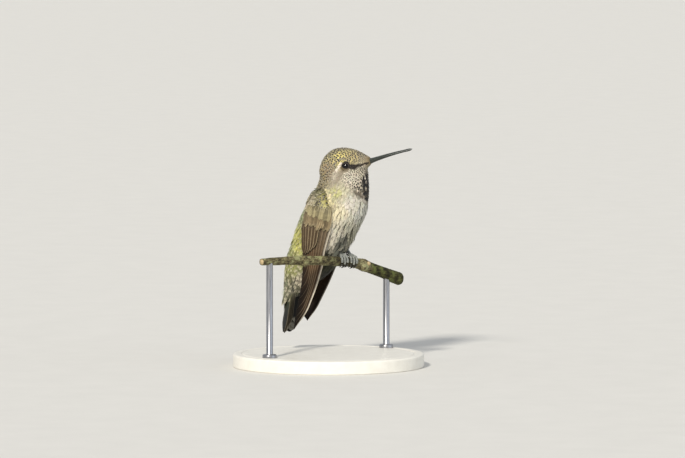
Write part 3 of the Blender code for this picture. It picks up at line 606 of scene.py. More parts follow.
# Where the coat changes: x, |y|, z, then length, width, spacing, depth and looseness of its feathers
LAY = np.array([
    (8.8, 0.8, 77.8, 1.0, 0.60, 0.52, 0.20, 0.1),     # round the bill's base
    (6.3, 0.8, 79.2, 1.8, 1.10, 0.90, 0.30, 0.1),     # forehead
    (5.4, 3.9, 76.1, 1.1, 0.65, 0.55, 0.25, 0.2),     # lore
    (7.4, 1.5, 74.4, 1.4, 0.90, 0.70, 0.30, 0.1),     # chin
    (-3.3, 0.0, 81.8, 2.3, 1.50, 1.15, 0.45, 0.1),    # crown
    (-1.8, 5.6, 78.5, 2.2, 1.35, 1.05, 0.42, 0.1),    # side of the crown
    (2.5, 4.2, 78.5, 1.8, 1.10, 0.90, 0.32, 0.1),     # over the eye
    (1.2, 6.0, 75.5, 1.0, 0.55, 0.50, 0.22, 0.1),     # eye
    (-2.0, 7.9, 71.5, 2.8, 1.20, 0.90, 0.55, 0.9),    # ear coverts
    (3.5, 6.6, 71.5, 1.8, 1.10, 0.85, 0.40, 0.3),     # cheek
    (7.1, 3.7, 68.4, 2.2, 1.50, 1.10, 0.50, 0.1),     # throat
    (8.0, 0.0, 67.0, 2.4, 1.60, 1.15, 0.50, 0.1),     # middle of the throat
    (-6.5, 6.8, 73.0, 2.8, 1.60, 1.20, 0.60, 0.5),    # side of the nape
    (-10.2, 0.0, 73.0, 3.0, 1.90, 1.40, 0.70, 0.3),   # nape
    (-0.1, 8.9, 65.9, 3.1, 1.60, 1.20, 0.75, 0.6),    # side of the neck
    (5.0, 6.0, 61.0, 4.0, 1.80, 1.35, 0.95, 0.7),     # breast
    (0.5, 9.3, 57.3, 4.4, 1.85, 1.40, 1.00, 0.9),     # side of the breast
    (-13.0, 0.0, 66.0, 4.0, 2.50, 1.80, 0.95, 0.2),   # upper back
    (-18.0, 4.0, 57.0, 4.8, 2.80, 1.95, 1.05, 0.3),   # lower back
    (2.0, 4.0, 51.0, 5.0, 2.00, 1.45, 1.15, 1.2),     # belly
    (-2.5, 4.0, 43.0, 5.0, 2.00, 1.40, 1.10, 1.3),    # thighs and vent
    (-21.0, 5.0, 47.0, 5.2, 2.90, 2.00, 1.05, 0.3),   # rump
    (-24.0, 3.0, 33.0, 6.5, 3.00, 2.10, 0.85, 0.3),   # uppertail coverts
    (-24.5, 2.0, 28.0, 9.3, 3.00, 2.00, 0.70, 0.3),   # longest uppertail coverts
    (-9.0, 3.0, 33.0, 6.5, 3.00, 2.10, 0.90, 0.4),    # undertail coverts
    (-5.0, 11.8, 63.0, 2.3, 1.70, 1.15, 0.50, 0.1),   # lesser coverts
    (-6.0, 12.4, 57.0, 3.6, 2.20, 1.50, 0.60, 0.1),   # median coverts
    (-11.8, 10.3, 62.5, 4.2, 2.40, 1.60, 0.80, 0.2),  # scapulars
    (-12.5, 10.8, 57.0, 4.6, 2.50, 1.70, 0.75, 0.2),  # hindmost scapulars
])


BLEND_SOFTNESS = 1.2               # square millimetres


def fold(points):
    """Points of either side of the bird brought to one side."""
    return np.column_stack((points[:, 0], np.abs(points[:, 1]), points[:, 2]))


def blend(points, table):
    """Values of a table of places, blended smoothly at each point; both sides of the bird are alike."""
    away = ((fold(points)[:, None, :] - table[None, :, :3]) ** 2).sum(-1)
    weight = 1.0 / (away + BLEND_SOFTNESS) ** 2
    return weight @ table[:, 3:] / weight.sum(1, keepdims=True)


def skin(hull):
    """The hull drawn in by the coat's depth."""
    points, _, _, normals, _ = mesh_arrays(hull)
    depth = blend(points, LAY)[:, 3]
    hull.data.vertices.foreach_set("co", world(points - normals * depth[:, None]).ravel())
    hull.data.update()
    apply_modifier(hull, "SMOOTH", factor=0.5, iterations=4)
    deselect()
    hull.select_set(True)
    bpy.ops.object.mode_set(mode="EDIT")
    bpy.ops.mesh.select_all(action="SELECT")
    bpy.ops.uv.smart_project(angle_limit=math.radians(66.0), island_margin=0.002)
    bpy.ops.object.mode_set(mode="OBJECT")
    hull.select_set(False)
    hull.data.uv_layers[0].name = "OFBake"
    return hull


# ---------------------------------------------------------------- plumage colours

# Plumage by place: x, |y|, z, colour, then how spotted, how pale-rimmed and how glossy its feathers are
PLUMAGE = np.array([(x, y, z, *linear(code), *ways) for x, y, z, code, *ways in (
    (8.8, 0.8, 77.8, "#8a7a5c", 0.2, 0.2, 0.0),
    (6.3, 0.8, 79.2, "#988d76", 1.5, 0.7, 0.2),
    (-3.3, 0.0, 81.8, "#9f947c", 1.7, 0.9, 0.2),
    (-1.8, 5.6, 78.5, "#d8c97a", 1.5, 0.7, 0.3),
    (-5.8, 3.7, 80.2, "#b3a97c", 1.6, 0.8, 0.3),
    (2.5, 4.2, 78.5, "#c2b17a", 1.4, 0.6, 0.2),
    (6.4, 3.8, 73.3, "#ddd3bc", 1.25, 0.2, 0.0),
    (3.5, 6.8, 71.1, "#d2cab8", 0.9, 0.2, 0.0),
    (-2.0, 8.0, 71.1, "#968c7b", 0.5, 0.4, 0.0),
    (-5.6, 7.3, 74.0, "#8b795b", 1.0, 0.7, 0.4),
    (-8.1, 6.2, 70.1, "#897a58", 1.0, 0.7, 0.4),
    (-10.5, 0.0, 73.0, "#8f8a62", 0.3, 0.3, 0.7),
    (7.1, 3.7, 68.4, "#ccc0ab", 1.3, 0.2, 0.0),
    (8.0, 0.0, 66.0, "#a79b88", 0.8, 0.2, 0.1),
    (-0.1, 8.9, 65.9, "#a9a388", 0.1, 0.3, 0.4),
    (4.5, 7.0, 61.0, "#c8c3b6", 0.1, 0.2, 0.0),
    (0.5, 9.3, 57.3, "#dccfae", 0.1, 0.2, 0.2),
    # Painted shade: the front of the lower breast is drawn a cooler grey
    (6.3, 3.5, 57.1, "#bbbaae", 0.1, 0.2, 0.0),
    (1.9, 7.9, 54.6, "#b8b4a2", 0.1, 0.3, 0.0),
    (1.5, 1.6, 47.4, "#8b8874", 0.1, 0.3, 0.0),
    (0.2, 4.6, 45.5, "#55554b", 0.1, 0.3, 0.0),
    (-4.0, 7.5, 46.4, "#c9c2b0", 0.1, 0.2, 0.0),
    (-3.0, 7.8, 50.5, "#cfc8b6", 0.1, 0.2, 0.0),
    (-13.0, 0.0, 66.0, "#8f8c62", 0.2, 0.3, 0.8),
    (-10.1, 10.2, 65.4, "#585740", 0.5, 0.9, 0.3),
    (-16.5, 4.0, 57.0, "#868d62", 0.3, 0.5, 0.7),
    (-18.0, 6.8, 47.2, "#aeac5c", 0.2, 0.4, 0.8),
    (-24.0, 0.0, 42.0, "#979c66", 0.3, 0.4, 0.8),
    (-20.5, 4.0, 36.0, "#8e8f55", 0.4, 0.6, 0.6),
    (-17.6, 5.2, 31.5, "#847b6c", 0.4, 0.9, 0.1),
    (-22.3, 3.5, 27.9, "#4f503a", 0.4, 0.6, 0.4),
    # Painted shade: the undertail coverts, grey-green in life, are drawn dark olive to near black where they
    # lie in shade
    (-7.0, 4.0, 38.0, "#26280c", 0.0, 0.0, 0.0),
    (-8.0, 3.0, 33.0, "#0c0d05", 0.0, 0.0, 0.0),
    (-3.0, 3.0, 42.0, "#55564a", 0.1, 0.3, 0.0),
    (-4.7, 11.6, 62.2, "#8c8548", 1.2, 0.4, 0.8),
    (-12.0, 10.4, 61.2, "#9f947d", 0.4, 0.6, 0.3),
    (-12.8, 10.6, 56.5, "#a09a7a", 0.3, 0.5, 0.3),
    (-5.0, 12.4, 57.5, "#978b70", 0.5, 0.5, 0.3),
)])

# Sharper markings: the ends of a capsule (x, |y|, z), its radius, how soft its edge is, colour, strength,
# gloss, and the share of feathers left out
MARKS = [
    # Round the eye
    ((1.2, 6.3, 75.1), (1.2, 6.3, 75.1), 2.1, 0.5, "#55462f", 0.85, 0.0, 0.0),
    # Streaks behind the ear
    ((-3.2, 7.4, 74.6), (-4.8, 8.0, 71.6), 0.55, 0.35, "#5c4c38", 0.85, 0.0, 0.2),
    ((0.2, 6.9, 73.0), (-1.2, 8.0, 69.8), 0.50, 0.35, "#776a5a", 0.65, 0.0, 0.2),
    # Whitish ear streak
    ((-2.2, 7.3, 73.4), (-2.9, 7.9, 71.0), 0.6, 0.5, "#ccc2b0", 0.45, 0.0, 0.3),
    # White behind the eye
    ((-0.5, 6.3, 76.4), (-1.8, 7.2, 74.1), 0.62, 0.30, "#d2c9b8", 1.0, 0.0, 0.0),
    # Dark lore
    ((2.6, 5.4, 75.4), (4.0, 4.7, 75.0), 1.12, 0.35, "#1b140f", 1.0, 0.0, 0.0),
    ((4.5, 4.4, 75.2), (6.0, 3.6, 75.8), 0.56, 0.3, "#241c15", 1.0, 0.0, 0.0),
    # Dark line to the gape, with painted shade under the bill's edge
    ((6.0, 3.6, 75.9), (8.6, 1.6, 76.3), 0.42, 0.25, "#2c231a", 1.0, 0.0, 0.0),
    # Middle of the throat
    ((7.9, 0.2, 69.3), (8.2, 0.0, 65.0), 3.15, 0.6, "#0e0a09", 1.0, 0.2, 0.06),
    # Pale spot beside it
    ((7.9, 1.6, 71.0), (7.8, 1.6, 70.6), 0.5, 0.3, "#e0d8c8", 0.9, 0.0, 0.0),
    # Blotches below
    ((5.9, 5.6, 65.5), (7.8, 2.0, 64.6), 1.5, 0.8, "#4f4435", 0.85, 0.1, 0.50),
    # Green side of the neck
    ((-2.3, 8.9, 65.8), (-0.8, 9.0, 65.3), 1.5, 0.9, "#b4b066", 0.65, 0.6, 0.2),
    # Cream arc before the wing
    ((-6.0, 8.4, 66.9), (-3.9, 9.6, 64.0), 0.7, 0.5, "#cabf98", 0.9, 0.0, 0.1),
    ((-3.9, 9.6, 64.0), (-2.2, 10.6, 60.3), 0.8, 0.5, "#d3c79f", 0.9, 0.0, 0.1),
    # Painted shade in the gap under the scapulars
    ((-6.7, 11.7, 64.2), (-9.4, 11.9, 59.3), 0.55, 0.35, "#2c291c", 1.0, 0.3, 0.0),
    # Brightest lesser coverts
    ((-4.6, 11.7, 62.4), (-4.4, 11.9, 61.2), 0.9, 0.7, "#cfc36c", 0.8, 0.9, 0.3),
    # Dark down over the leg
    ((-0.4, 5.6, 46.4), (-1.2, 4.6, 42.4), 2.3, 1.3, "#45463e", 0.9, 0.0, 0.22),
    # Wedge above the tail
    ((-19.8, 4.8, 32.0), (-21.8, 3.7, 26.5), 0.90, 0.5, "#1d1d13", 0.95, 0.0, 0.0),
    # Pale run left of it
    ((-25.0, 1.3, 31.5), (-25.2, 1.3, 24.0), 0.90, 0.5, "#c0c2a4", 0.85, 0.0, 0.2),
]


def plumage(points):
    """Colour and markings of the coat at points of the bird's frame."""
    values = blend(points, PLUMAGE)
    folded = fold(points)
    chance = np.abs(np.sin(folded @ np.array((12.99, 78.23, 37.72))) * 4375.85) % 1.0
    for first, last, radius, soft, code, strength, gloss, gaps in MARKS:
        first, last = np.array(first), np.array(last)
        span = last - first
        share = np.clip((folded - first) @ span / max(span @ span, 1e-6), 0.0, 1.0)
        away = np.linalg.norm(folded - first - share[:, None] * span, axis=1)
        mask = (ease(radius + soft, radius - soft * 0.4, away) * strength * (chance >= gaps))[:, None]
        values = mix(values, np.array((*linear(code), 0.0, 0.1, gloss)), mask)
    return values[:, :3], values[:, 3:]


# ---------------------------------------------------------------- contour feathers

EYES = [head_point(EYE_BACK, EYE_UP, side * (EYE_OUT + 1.3)) for side, _ in SIDES]
EYE_BARE, BILL_BARE = 1.50, 1.5    # how far from the eye and the bill's base the coat starts
COAT_END = 33.0                    # below it, feathers that would run off the skin's end are left out
WING_LIE = unit(np.array((-0.30, 0.0, -1.0)))


def trunk_lie(points):
    """Downwards along the trunk, between the run of the back and the run of the belly."""
    rows = refine(TRUNK_STATIONS, 4)[::-1]
    made = []
    for column in (0, 2):
        slope = unit(np.gradient(rows[:, column:column + 2], axis=0))
        made.append(np.stack([-np.interp(points[:, 2], rows[:, column + 1], slope[:, axis])
                              for axis in (0, 1)], 1))
    back = np.interp(points[:, 2], rows[:, 1], rows[:, 0])
    belly = np.interp(points[:, 2], rows[:, 3], rows[:, 2])
    share = np.clip((points[:, 0] - back) / np.maximum(belly - back, 1.0), 0.0, 1.0)[:, None]
    run = mix(*made, share)
    return unit(np.column_stack((run[:, 0], np.zeros(len(points)), run[:, 1])))


def on_wing(points):
    """How far a point is on the forearm's pad, from 0 to 1."""
    height = np.abs(points[:, 1]) - sheet_y(points[:, 0], points[:, 2], 0.0)
    leading, trailing = wing_edges(points[:, 2])
    inside = ease(-0.6, 0.4, leading - points[:, 0]) * ease(-0.6, 0.4, points[:, 0] - trailing)
    return ease(0.0, 0.7, height) * inside * ease(50.5, 51.5, points[:, 2]) * ease(68.2, 66.8, points[:, 2])


def lie(points, normals):
    """The way the coat lies at points of the skin, along the skin."""
    back = -((points - BILL_BASE) @ AHEAD)
    turn = np.maximum(ease(4.0, 15.0, back), ease(74.0, 66.0, points[:, 2]))[:, None]
    run = mix(-AHEAD, trunk_lie(points), turn)
    run = mix(run, WING_LIE, on_wing(points)[:, None])
    for eye in EYES:
        away = points - eye
        near = ease(4.2, 1.6, np.linalg.norm(away, axis=1))[:, None]
        run = run + unit(away) * near * 0.9
    run = run - normals * (run * normals).sum(1, keepdims=True)
    return unit(run)


DENSITY = 0.66                     # closer than the table's spacing, so that the coat is deep
COAT_TRIES = 180000
CELL = 1.1                         # side of the cells that near places are looked up in


def scatter(points, triangles, flat, keep):
    """Evenly spread places on the skin: triangle, its three weights and the point.

    keep says how far apart they are."""
    area = np.linalg.norm(flat, axis=1)
    chosen = RANDOM.choice(len(triangles), size=COAT_TRIES, p=area / area.sum())
    first, second = RANDOM.random((2, len(chosen)))
    over = first + second > 1.0
    first[over], second[over] = 1.0 - first[over], 1.0 - second[over]
    weights = np.stack((1.0 - first - second, first, second), axis=1)
    spots = (points[triangles[chosen]] * weights[:, :, None]).sum(1)
    cells, taken = {}, []
    for index, ((x, y, z), gap) in enumerate(zip(spots.tolist(), keep(spots).tolist())):
        if gap <= 0.0:
            continue
        home = [int(math.floor(c / CELL)) for c in (x, y, z)]
        reach = int(math.ceil(gap / CELL))
        around = itertools.product(*(range(h - reach, h + reach + 1) for h in home))
        if any((a - x) ** 2 + (b - y) ** 2 + (c - z) ** 2 < gap * gap
               for cell in around for a, b, c in cells.get(cell, ())):
            continue
        cells.setdefault(tuple(home), []).append((x, y, z))
        taken.append(index)
    return chosen[taken], weights[taken], spots[taken]


def vane(barbs, solid, reach):
    """One feather's points across (-1 to 1) and along (0 to 1), quads, free barbs and the points that stray.

    solid is the share of its breadth that holds together, reach how far the free barbs run on past it."""
    rows = np.array((0.0, 0.22, 0.42, 0.60, 0.76, 0.88))

    def breadth(along):
        return (0.30 + 0.70 * ease(0.0, 0.5, along)) * np.sqrt(
            np.clip(1.0 - (np.maximum(along - 0.50, 0.0) / 0.51) ** 2, 0.0, 1.0))

    points = [(across * solid * breadth(along), along) for along in rows for across in (-1.0, 0.0, 1.0)]
    places = [(across * solid, along) for along in rows for across in (-1.0, 0.0, 1.0)]
    quads = [(r * 3 + c, r * 3 + c + 1, r * 3 + c + 4, r * 3 + c + 3) for r in range(5) for c in range(2)]
    free_barbs, stray = [], []
    wide = 0.66 / barbs
    for side in (-1.0, 1.0):
        for base in np.linspace(0.24, 0.85, barbs):
            tip = min(base + reach, 0.99)
            start = len(points)
            for along in (base - wide / 2.0, base + wide / 2.0):
                points.append((side * (solid * breadth(along) - 0.08), along))
                places.append((side * solid, along))
            points.append((side * max(breadth(tip), 0.14), tip))
            places.append((side, tip))
            free_barbs.append((start, start + 1, start + 2) if side < 0
                              else (start + 1, start, start + 2))
            stray.append(start + 2)
    for across in np.linspace(-0.30, 0.30, 5) * (0.6 + 0.4 * solid):
        start = len(points)
        points += [(across - 0.09, 0.84), (across + 0.09, 0.84), (across * 1.15, 1.0)]
        places += [(across, 0.84), (across, 0.84), (across, 1.0)]
        free_barbs.append((start, start + 1, start + 2))
        stray.append(start + 2)
    return np.array(points), np.array(places), np.array(quads), np.array(free_barbs), np.array(stray)


BOW = 0.14                         # how far a contour feather's edges curve down, as a share of its width


def grow(name, shape, paths, sides, normals, widths, lifts, tints, marks, root_uv):
    """Feathers of one shape laid along their paths as one mesh."""
    points, places, quads, barbs, free = shape
    count, steps = paths.shape[0], paths.shape[1] - 1
    across = np.repeat(points[None, :, 0], count, axis=0)
    along = np.repeat(points[None, :, 1], count, axis=0)
    along[:, free] += RANDOM.uniform(-0.07, 0.05, (count, len(free)))
    across[:, free] *= RANDOM.uniform(0.80, 1.18, (count, len(free)))
    step = np.clip(along * steps, 0.0, steps - 1e-6)
    low = step.astype(int)
    share = (step - low)[:, :, None]
    row = np.arange(count)[:, None]

    def at(values):
        return values[row, low] * (1.0 - share) + values[row, low + 1] * share

    over = np.clip(along * steps - steps, 0.0, None)[:, :, None]
    centre = at(paths) + (paths[:, -1] - paths[:, -2])[:, None, :] * over
    height = lifts[:, None] * (0.05 + 0.95 * along) - BOW * widths[:, None] * across ** 2
    made = centre + at(sides) * (across * widths[:, None] * 0.5)[:, :, None]
    made = made + at(normals) * height[:, :, None]
    size = len(points)
    shift = (np.arange(count) * size)[:, None, None]
    item = build(name, made.reshape(-1, 3), (quads[None] + shift).reshape(-1, 4),
                 (barbs[None] + shift).reshape(-1, 3))
    paint(item, "tint", np.repeat(tints, size, axis=0))
    paint(item, "marking", np.repeat(marks, size, axis=0))
    patch = 0.003 * (np.stack((points[:, 0] * 0.5, points[:, 1] - 0.5), 1))[None]
    unwrap(item, "OFBake", (root_uv[:, None, :] + patch).reshape(-1, 2))
    unwrap(item, "vane", np.tile(np.stack((0.5 + 0.5 * places[:, 0], places[:, 1]), 1), (count, 1)))
    return item


def coat(body):
    """The contour feathers, rooted all over the skin and lying along it."""
    points, triangles, loops, normals, flat = mesh_arrays(body)
    tree = BVHTree.FromPolygons(points.tolist(), triangles.tolist())
    face_normals = unit(normals[triangles].sum(1))
    uv = gather(body.data.uv_layers["OFBake"].data, "uv", 2)

    def spacing(spots):
        apart = blend(spots, LAY)[:, 2] * DENSITY
        for eye in EYES:
            apart[np.linalg.norm(spots - eye, axis=1) < EYE_BARE] = 0.0
        apart[np.linalg.norm(spots - BILL_BASE - AHEAD * 0.6, axis=1) < BILL_BARE] = 0.0
        leading, trailing = wing_edges(spots[:, 2])
        share = (spots[:, 0] - leading) / (trailing - leading)
        under_wing = (on_wing(spots) > 0.5) & (spots[:, 2] < 58.6 - 5.0 * ease(0.60, 0.80, share))
        apart[under_wing] = 0.0
        return apart

    faces, weights, roots = scatter(points, triangles, flat, spacing)
    run = trunk_lie(roots)
    astray = (face_normals[faces] * run).sum(1) > 0.35
    astray |= (lie(roots, face_normals[faces]) * run).sum(1) < 0.86
    good = ~(astray & (roots[:, 2] < COAT_END))
    faces, weights, roots = faces[good], weights[good], roots[good]
    lay = blend(roots, LAY)
    length, width, depth, loose = lay[:, 0], lay[:, 1], lay[:, 3], lay[:, 4]
    length = length * RANDOM.uniform(0.88, 1.12, len(roots))
    width = width * RANDOM.uniform(0.9, 1.1, len(roots))
    steps = 4
    here, up = roots, face_normals[faces]
    paths, ups = [here], [up]
    sway = RANDOM.normal(0.0, 0.10, len(roots)) * (0.4 + loose)
    hangs = np.zeros((len(roots), 1), bool)
    heading = lie(here, up)
    # Each step is drawn on to the skin, until a feather runs out over an edge and hangs straight on
    for _ in range(steps):
        low = ease(34.0, 30.0, here[:, 2])[:, None]
        run = mix(lie(here, up), trunk_lie(here), low)
        heading = np.where(hangs, heading, unit(run + np.cross(up, run) * sway[:, None]))
        ahead = here + heading * (length / steps)[:, None]
        found = [tree.find_nearest(p) for p in ahead.tolist()]
        there, facing = np.array([f[0] for f in found]), face_normals[[f[2] for f in found]]
        leaves = np.linalg.norm(there - ahead, axis=1) > 0.45 * length / steps
        leaves |= ((facing * trunk_lie(ahead)).sum(1) > 0.4) & (ahead[:, 2] < 45.0)
        hangs = hangs | leaves[:, None]
        here = np.where(hangs, ahead, there)
        up = np.where(hangs, up, unit(up * 0.4 + facing))
        paths.append(here)
        ups.append(up)
    paths, ups = np.stack(paths, 1), np.stack(ups, 1)
    sides = unit(np.cross(ups, np.gradient(paths, axis=1)))
    tilt = RANDOM.normal(0.0, 0.06, len(roots)) * (0.5 + loose)
    ups = unit(ups + sides * tilt[:, None, None])
    sides = unit(np.cross(ups, np.gradient(paths, axis=1)))
    lifts = depth * RANDOM.uniform(0.85, 1.1, len(roots))
    tints, marks = plumage(paths[:, 3])
    # Each feather a little lighter or darker at random, glossy ones more so: painted glint, as if some catch
    # the light
    glint = marks[:, 2:3]
    tints = tints * (1.0 + RANDOM.uniform(-1.0, 1.0, (len(roots), 1)) * (0.10 + 0.20 * glint))
    tints = tints * RANDOM.uniform(0.97, 1.03, (len(roots), 3))
    root_uv = (uv[loops[faces]] * weights[:, :, None]).sum(1)
    fine, loose_vane = vane(8, 0.74, 0.15), vane(12, 0.46, 0.24)
    wing = on_wing(roots) > 0.5
    high = (roots - np.array((12.0, 0.0, 73.6))) @ unit(np.array((-3.6, 0.0, 26.0)))
    low, behind = roots[:, 2] <= 43.5, roots[:, 0] < -14.0
    trunk = (roots[:, 2] <= 62.5) & ~low
    groups = [
        ("coat_head", ~wing & (high > 0.0), fine, "crown", ("head",)),
        ("coat_neck", ~wing & (high <= 0.0) & (roots[:, 2] > 62.5), fine, "throat", ("neck",)),
        ("coat_trunk", ~wing & trunk, loose_vane, "belly", ("trunk",)),
        ("coat_rump", ~wing & low & behind, loose_vane, "rump", ("rump_uppertail_coverts",)),
        ("coat_vent", ~wing & low & ~behind, loose_vane, "vent", ("undertail_coverts",)),
    ]
    for side, label in SIDES[::-1]:
        arm = ("wing_" + label + "_shoulder", "wing_" + label + "_coverts")
        groups.append(("coat_arm_" + label, wing & (roots[:, 1] * side > 0), fine, "shoulder", arm))
    for name, mask, shape, slot, nodes in groups:
        item = grow(name, shape, paths[mask], sides[mask], ups[mask], width[mask], lifts[mask],
                    tints[mask], marks[mask], root_uv[mask])
        settle(item, slot, CONTOUR, *nodes)


# ---------------------------------------------------------------- flight feathers

VANE_THICKNESS = 0.09


def plate(name, feathers):
    """Thin closed plates, each given as a grid of points, its thickness, tint, markings and vane map."""
    all_points, all_faces, all_tints, all_marks, all_vanes, start = [], [], [], [], [], 0
    for grid, thickness, tint, mark, place in feathers:
        rows, columns = grid.shape[:2]
        top = grid.reshape(-1, 3)
        under = (grid - thickness).reshape(-1, 3)
        row, column = np.meshgrid(np.arange(rows - 1), np.arange(columns - 1), indexing="ij")
        a = (row * columns + column).ravel()
        upper = np.stack((a, a + 1, a + columns + 1, a + columns), axis=1)
        lower = upper[:, ::-1] + rows * columns
        edge = np.concatenate((np.arange(columns), np.arange(1, rows) * columns + columns - 1,
                               (rows - 1) * columns + np.arange(columns - 2, -1, -1),
                               np.arange(rows - 2, 0, -1) * columns))
        after = np.roll(edge, -1)
        rim = np.stack((after, edge, edge + rows * columns, after + rows * columns), axis=1)
        all_points += [top, under]
        all_faces += [upper + start, lower + start, rim + start]
        all_tints += [tint.reshape(-1, 3)] * 2
        all_marks += [mark.reshape(-1, 3)] * 2
        all_vanes += [place.reshape(-1, 2)] * 2
        start += 2 * rows * columns
    item = build(name, np.vstack(all_points), np.vstack(all_faces))
    paint(item, "tint", np.vstack(all_tints))
    paint(item, "marking", np.vstack(all_marks))
    unwrap(item, "vane", np.vstack(all_vanes))
    return outward(item)


COLUMNS = np.array((0.0, 0.03, 0.10, 0.18, 0.22, 0.26, 0.36, 0.50, 0.64, 0.78, 0.90, 0.97, 1.0))
QUILL = 0.22                       # where the shaft runs across the vane


def vane_place(columns, along):
    """The vane map's place for a grid: the shaft at its middle."""
    over = np.where(columns < QUILL, 0.5 * columns / QUILL, 0.5 + 0.5 * (columns - QUILL) / (1.0 - QUILL))
    over, along = np.broadcast_arrays(over[None, :], along[:, None])
    return np.stack((over, along), axis=2)


def spread(lead, trail, z):
    """The x and z of a feather's points as grids, rows down it and columns across it."""
    return lead[:, None] + (trail - lead)[:, None] * COLUMNS, np.repeat(z[:, None], len(COLUMNS), axis=1)


def tucked(height, lead, trail, z):
    """A feather's height as a grid, drawn in where it runs under the forearm's coat."""
    x, level = spread(lead, trail, z)
    return height - np.maximum(height - pad_rise(x, level) + 0.40, 0.0) * ease(52.0, 54.5, level)


def wing_vane(side, z, lead, trail, height, bow, dark, pale, rim_front, inner=0.1, shaft=0.05):
    """A feather lying on the folded wing's sheet between two edges given at heights z.

    bow is its camber, dark its colour down the run, pale that of its front rim, rim_front how pale the rim
    is, inner how much painted shade darkens it behind that rim, where the next feather overlaps it, and
    shaft how far the shaft stands out."""
    share = COLUMNS[None, :]
    x, level = spread(lead, trail, z)
    rib = shaft * np.exp(-((share - QUILL) / 0.035) ** 2)
    rise = height.reshape(len(z), -1) + bow * np.sin(math.pi * np.clip(share * 0.8 + 0.12, 0, 1)) + rib
    y = side * sheet_y(x, level, rise)
    grid = np.stack((x, y, level), axis=2)
    along = (z[0] - z) / (z[0] - z[-1])
    tint = np.repeat(dark[:, None, :], len(COLUMNS), axis=1)
    front = ease(0.12, 0.07 * rim_front ** 3, share)[:, :, None] * (0.35 + 0.6 * rim_front)
    quill = np.exp(-((share - QUILL) / 0.03) ** 2)[:, :, None] * 0.35
    # Painted shade: behind the front rim the vane is darkened by inner, where the next feather overlaps it
    tint = mix(tint * (1.0 - inner * ease(0.03, 0.14, share)[:, :, None]), pale, front)
    tint = mix(tint, linear("#2a2018"), quill)
    mark = np.zeros(grid.shape)
    mark[:, :, 1] = rim_front * ease(0.10, 0.0, share)
    mark[:, :, 2] = 0.5
    thick = np.zeros(grid.shape)
    thick[:, :, 1] = side * VANE_THICKNESS
    return grid, thick, tint, mark, vane_place(COLUMNS, along)


# Each feather's tip height, and where its front edge starts across the folded wing
PRIMARY_TIPS = (13.2, 14.9, 17.4, 20.8, 24.6, 28.6, 32.4, 35.9, 38.9, 41.4)
PRIMARY_EDGES = (0.0, 0.12, 0.235, 0.345, 0.45, 0.55, 0.645, 0.735, 0.82, 0.90)
SECONDARY_TIPS = (44.6, 43.6, 42.8, 42.2, 42.0, 42.6)
SECONDARY_EDGES = (0.36, 0.47, 0.58, 0.69, 0.79, 0.88)


def flight_feathers(side, label):
    """Ten primaries and six secondaries of a folded wing."""
    made = []
    for number, (tip, start) in enumerate(zip(PRIMARY_TIPS, PRIMARY_EDGES)):
        run = np.linspace(0.0, 1.0, 44)
        if side > 0:
            tip += 2.4 * (1.0 - number / 9.0)
        z = 54.5 + (tip - 54.5) * (1.0 - (1.0 - run) ** 1.25)
        leading, trailing = wing_edges(z)
        taper = np.clip((tip + 8.0 - z) / 8.0, 0.0, 1.0)
        share = start + (1.0 - start) * (taper ** 3.2 * (0.0 if number == 0 else 1.0))
        lead = leading + (trailing - leading) * share
        if number == 0:
            lead = leading - 0.05 + 0.75 * ease(44.0, 37.0, z) * ease(13.5, 22.0, z)
        trail = np.maximum(trailing, lead - 5.6 * (1.0 - 0.45 * run))
        trail = trail + 0.12 * number / 9.0
        if side > 0:
            trail = trail + (lead - trail) * np.clip((tip + 2.2 - z) / 2.2, 0.0, 1.0) ** 2
        lead = np.maximum(lead, trail + 0.05)
        height = 0.30 + 0.11 * number
        # Brown above, near black towards the tip: partly the feathers' own dark colour, partly painted shade
        # low on the folded wing
        upper, low = ease(0.38, 0.08, run)[:, None], ease(0.30, 1.0, run)[:, None]
        dark = mix(mix(linear("#5c442d"), linear("#83715a"), upper), linear("#140c06"), low)
        dark = dark * RANDOM.uniform(0.85, 1.15)
        # The outermost primary's front edge is a near-white painted highlight, fading towards the tip; the
        # others have a brown worn rim
        rim = 1.0 if number == 0 else 0.3
        fade = 0.85 * ease(0.70, 0.97, run) if number == 0 else 0.6 * run
        pale = linear("#efe6d4" if number == 0 else "#8d7860") * (1.0 - fade[:, None])
        feather = wing_vane(side, z, lead, trail, tucked(height, lead, trail, z), 0.10, dark,
                            pale[:, None, :], rim, 0.35)
        # Far wing: its colours darkened to 0.4 as painted shade, since it lies in shadow, and its tip set
        # back
        if side > 0:
            feather[2][:] *= 0.4
            feather[0][:, :, 0] += (LEFT_SWEEP * np.clip((38.0 - z) / 20.0, 0.0, 1.0))[:, None]
        made.append(feather)
    item = plate("primaries_" + label, made)
    settle(item, "flight", FLIGHT, "wing_" + label + "_primaries")
    made = []
    for number, (tip, start) in enumerate(zip(SECONDARY_TIPS, SECONDARY_EDGES)):
        run = np.linspace(0.0, 1.0, 26)
        z = 55.5 + (tip - 55.5) * (1.0 - (1.0 - run) ** 1.4)
        leading, trailing = wing_edges(z)
        taper = np.clip((tip + 3.0 - z) / 3.0, 0.0, 1.0)
        lead = leading + (trailing - leading) * (start + 0.12 * taper ** 2.5)
        trail = np.maximum(trailing + 0.6 - 0.5 * run, lead - 3.4) + 0.9 * taper ** 2.5
        lead = np.maximum(lead, trail + 0.3)
        dark = mix(linear("#63523d"), linear("#433425"), run[:, None]) * RANDOM.uniform(0.92, 1.08)
        made.append(wing_vane(side, z, lead, trail, tucked(1.55 + 0.13 * number, lead, trail, z), 0.12, dark,
                              linear("#a39272"), 0.5, 0.2))
    item = plate("secondaries_" + label, made)
    settle(item, "covert", FLIGHT, "wing_" + label + "_secondaries")


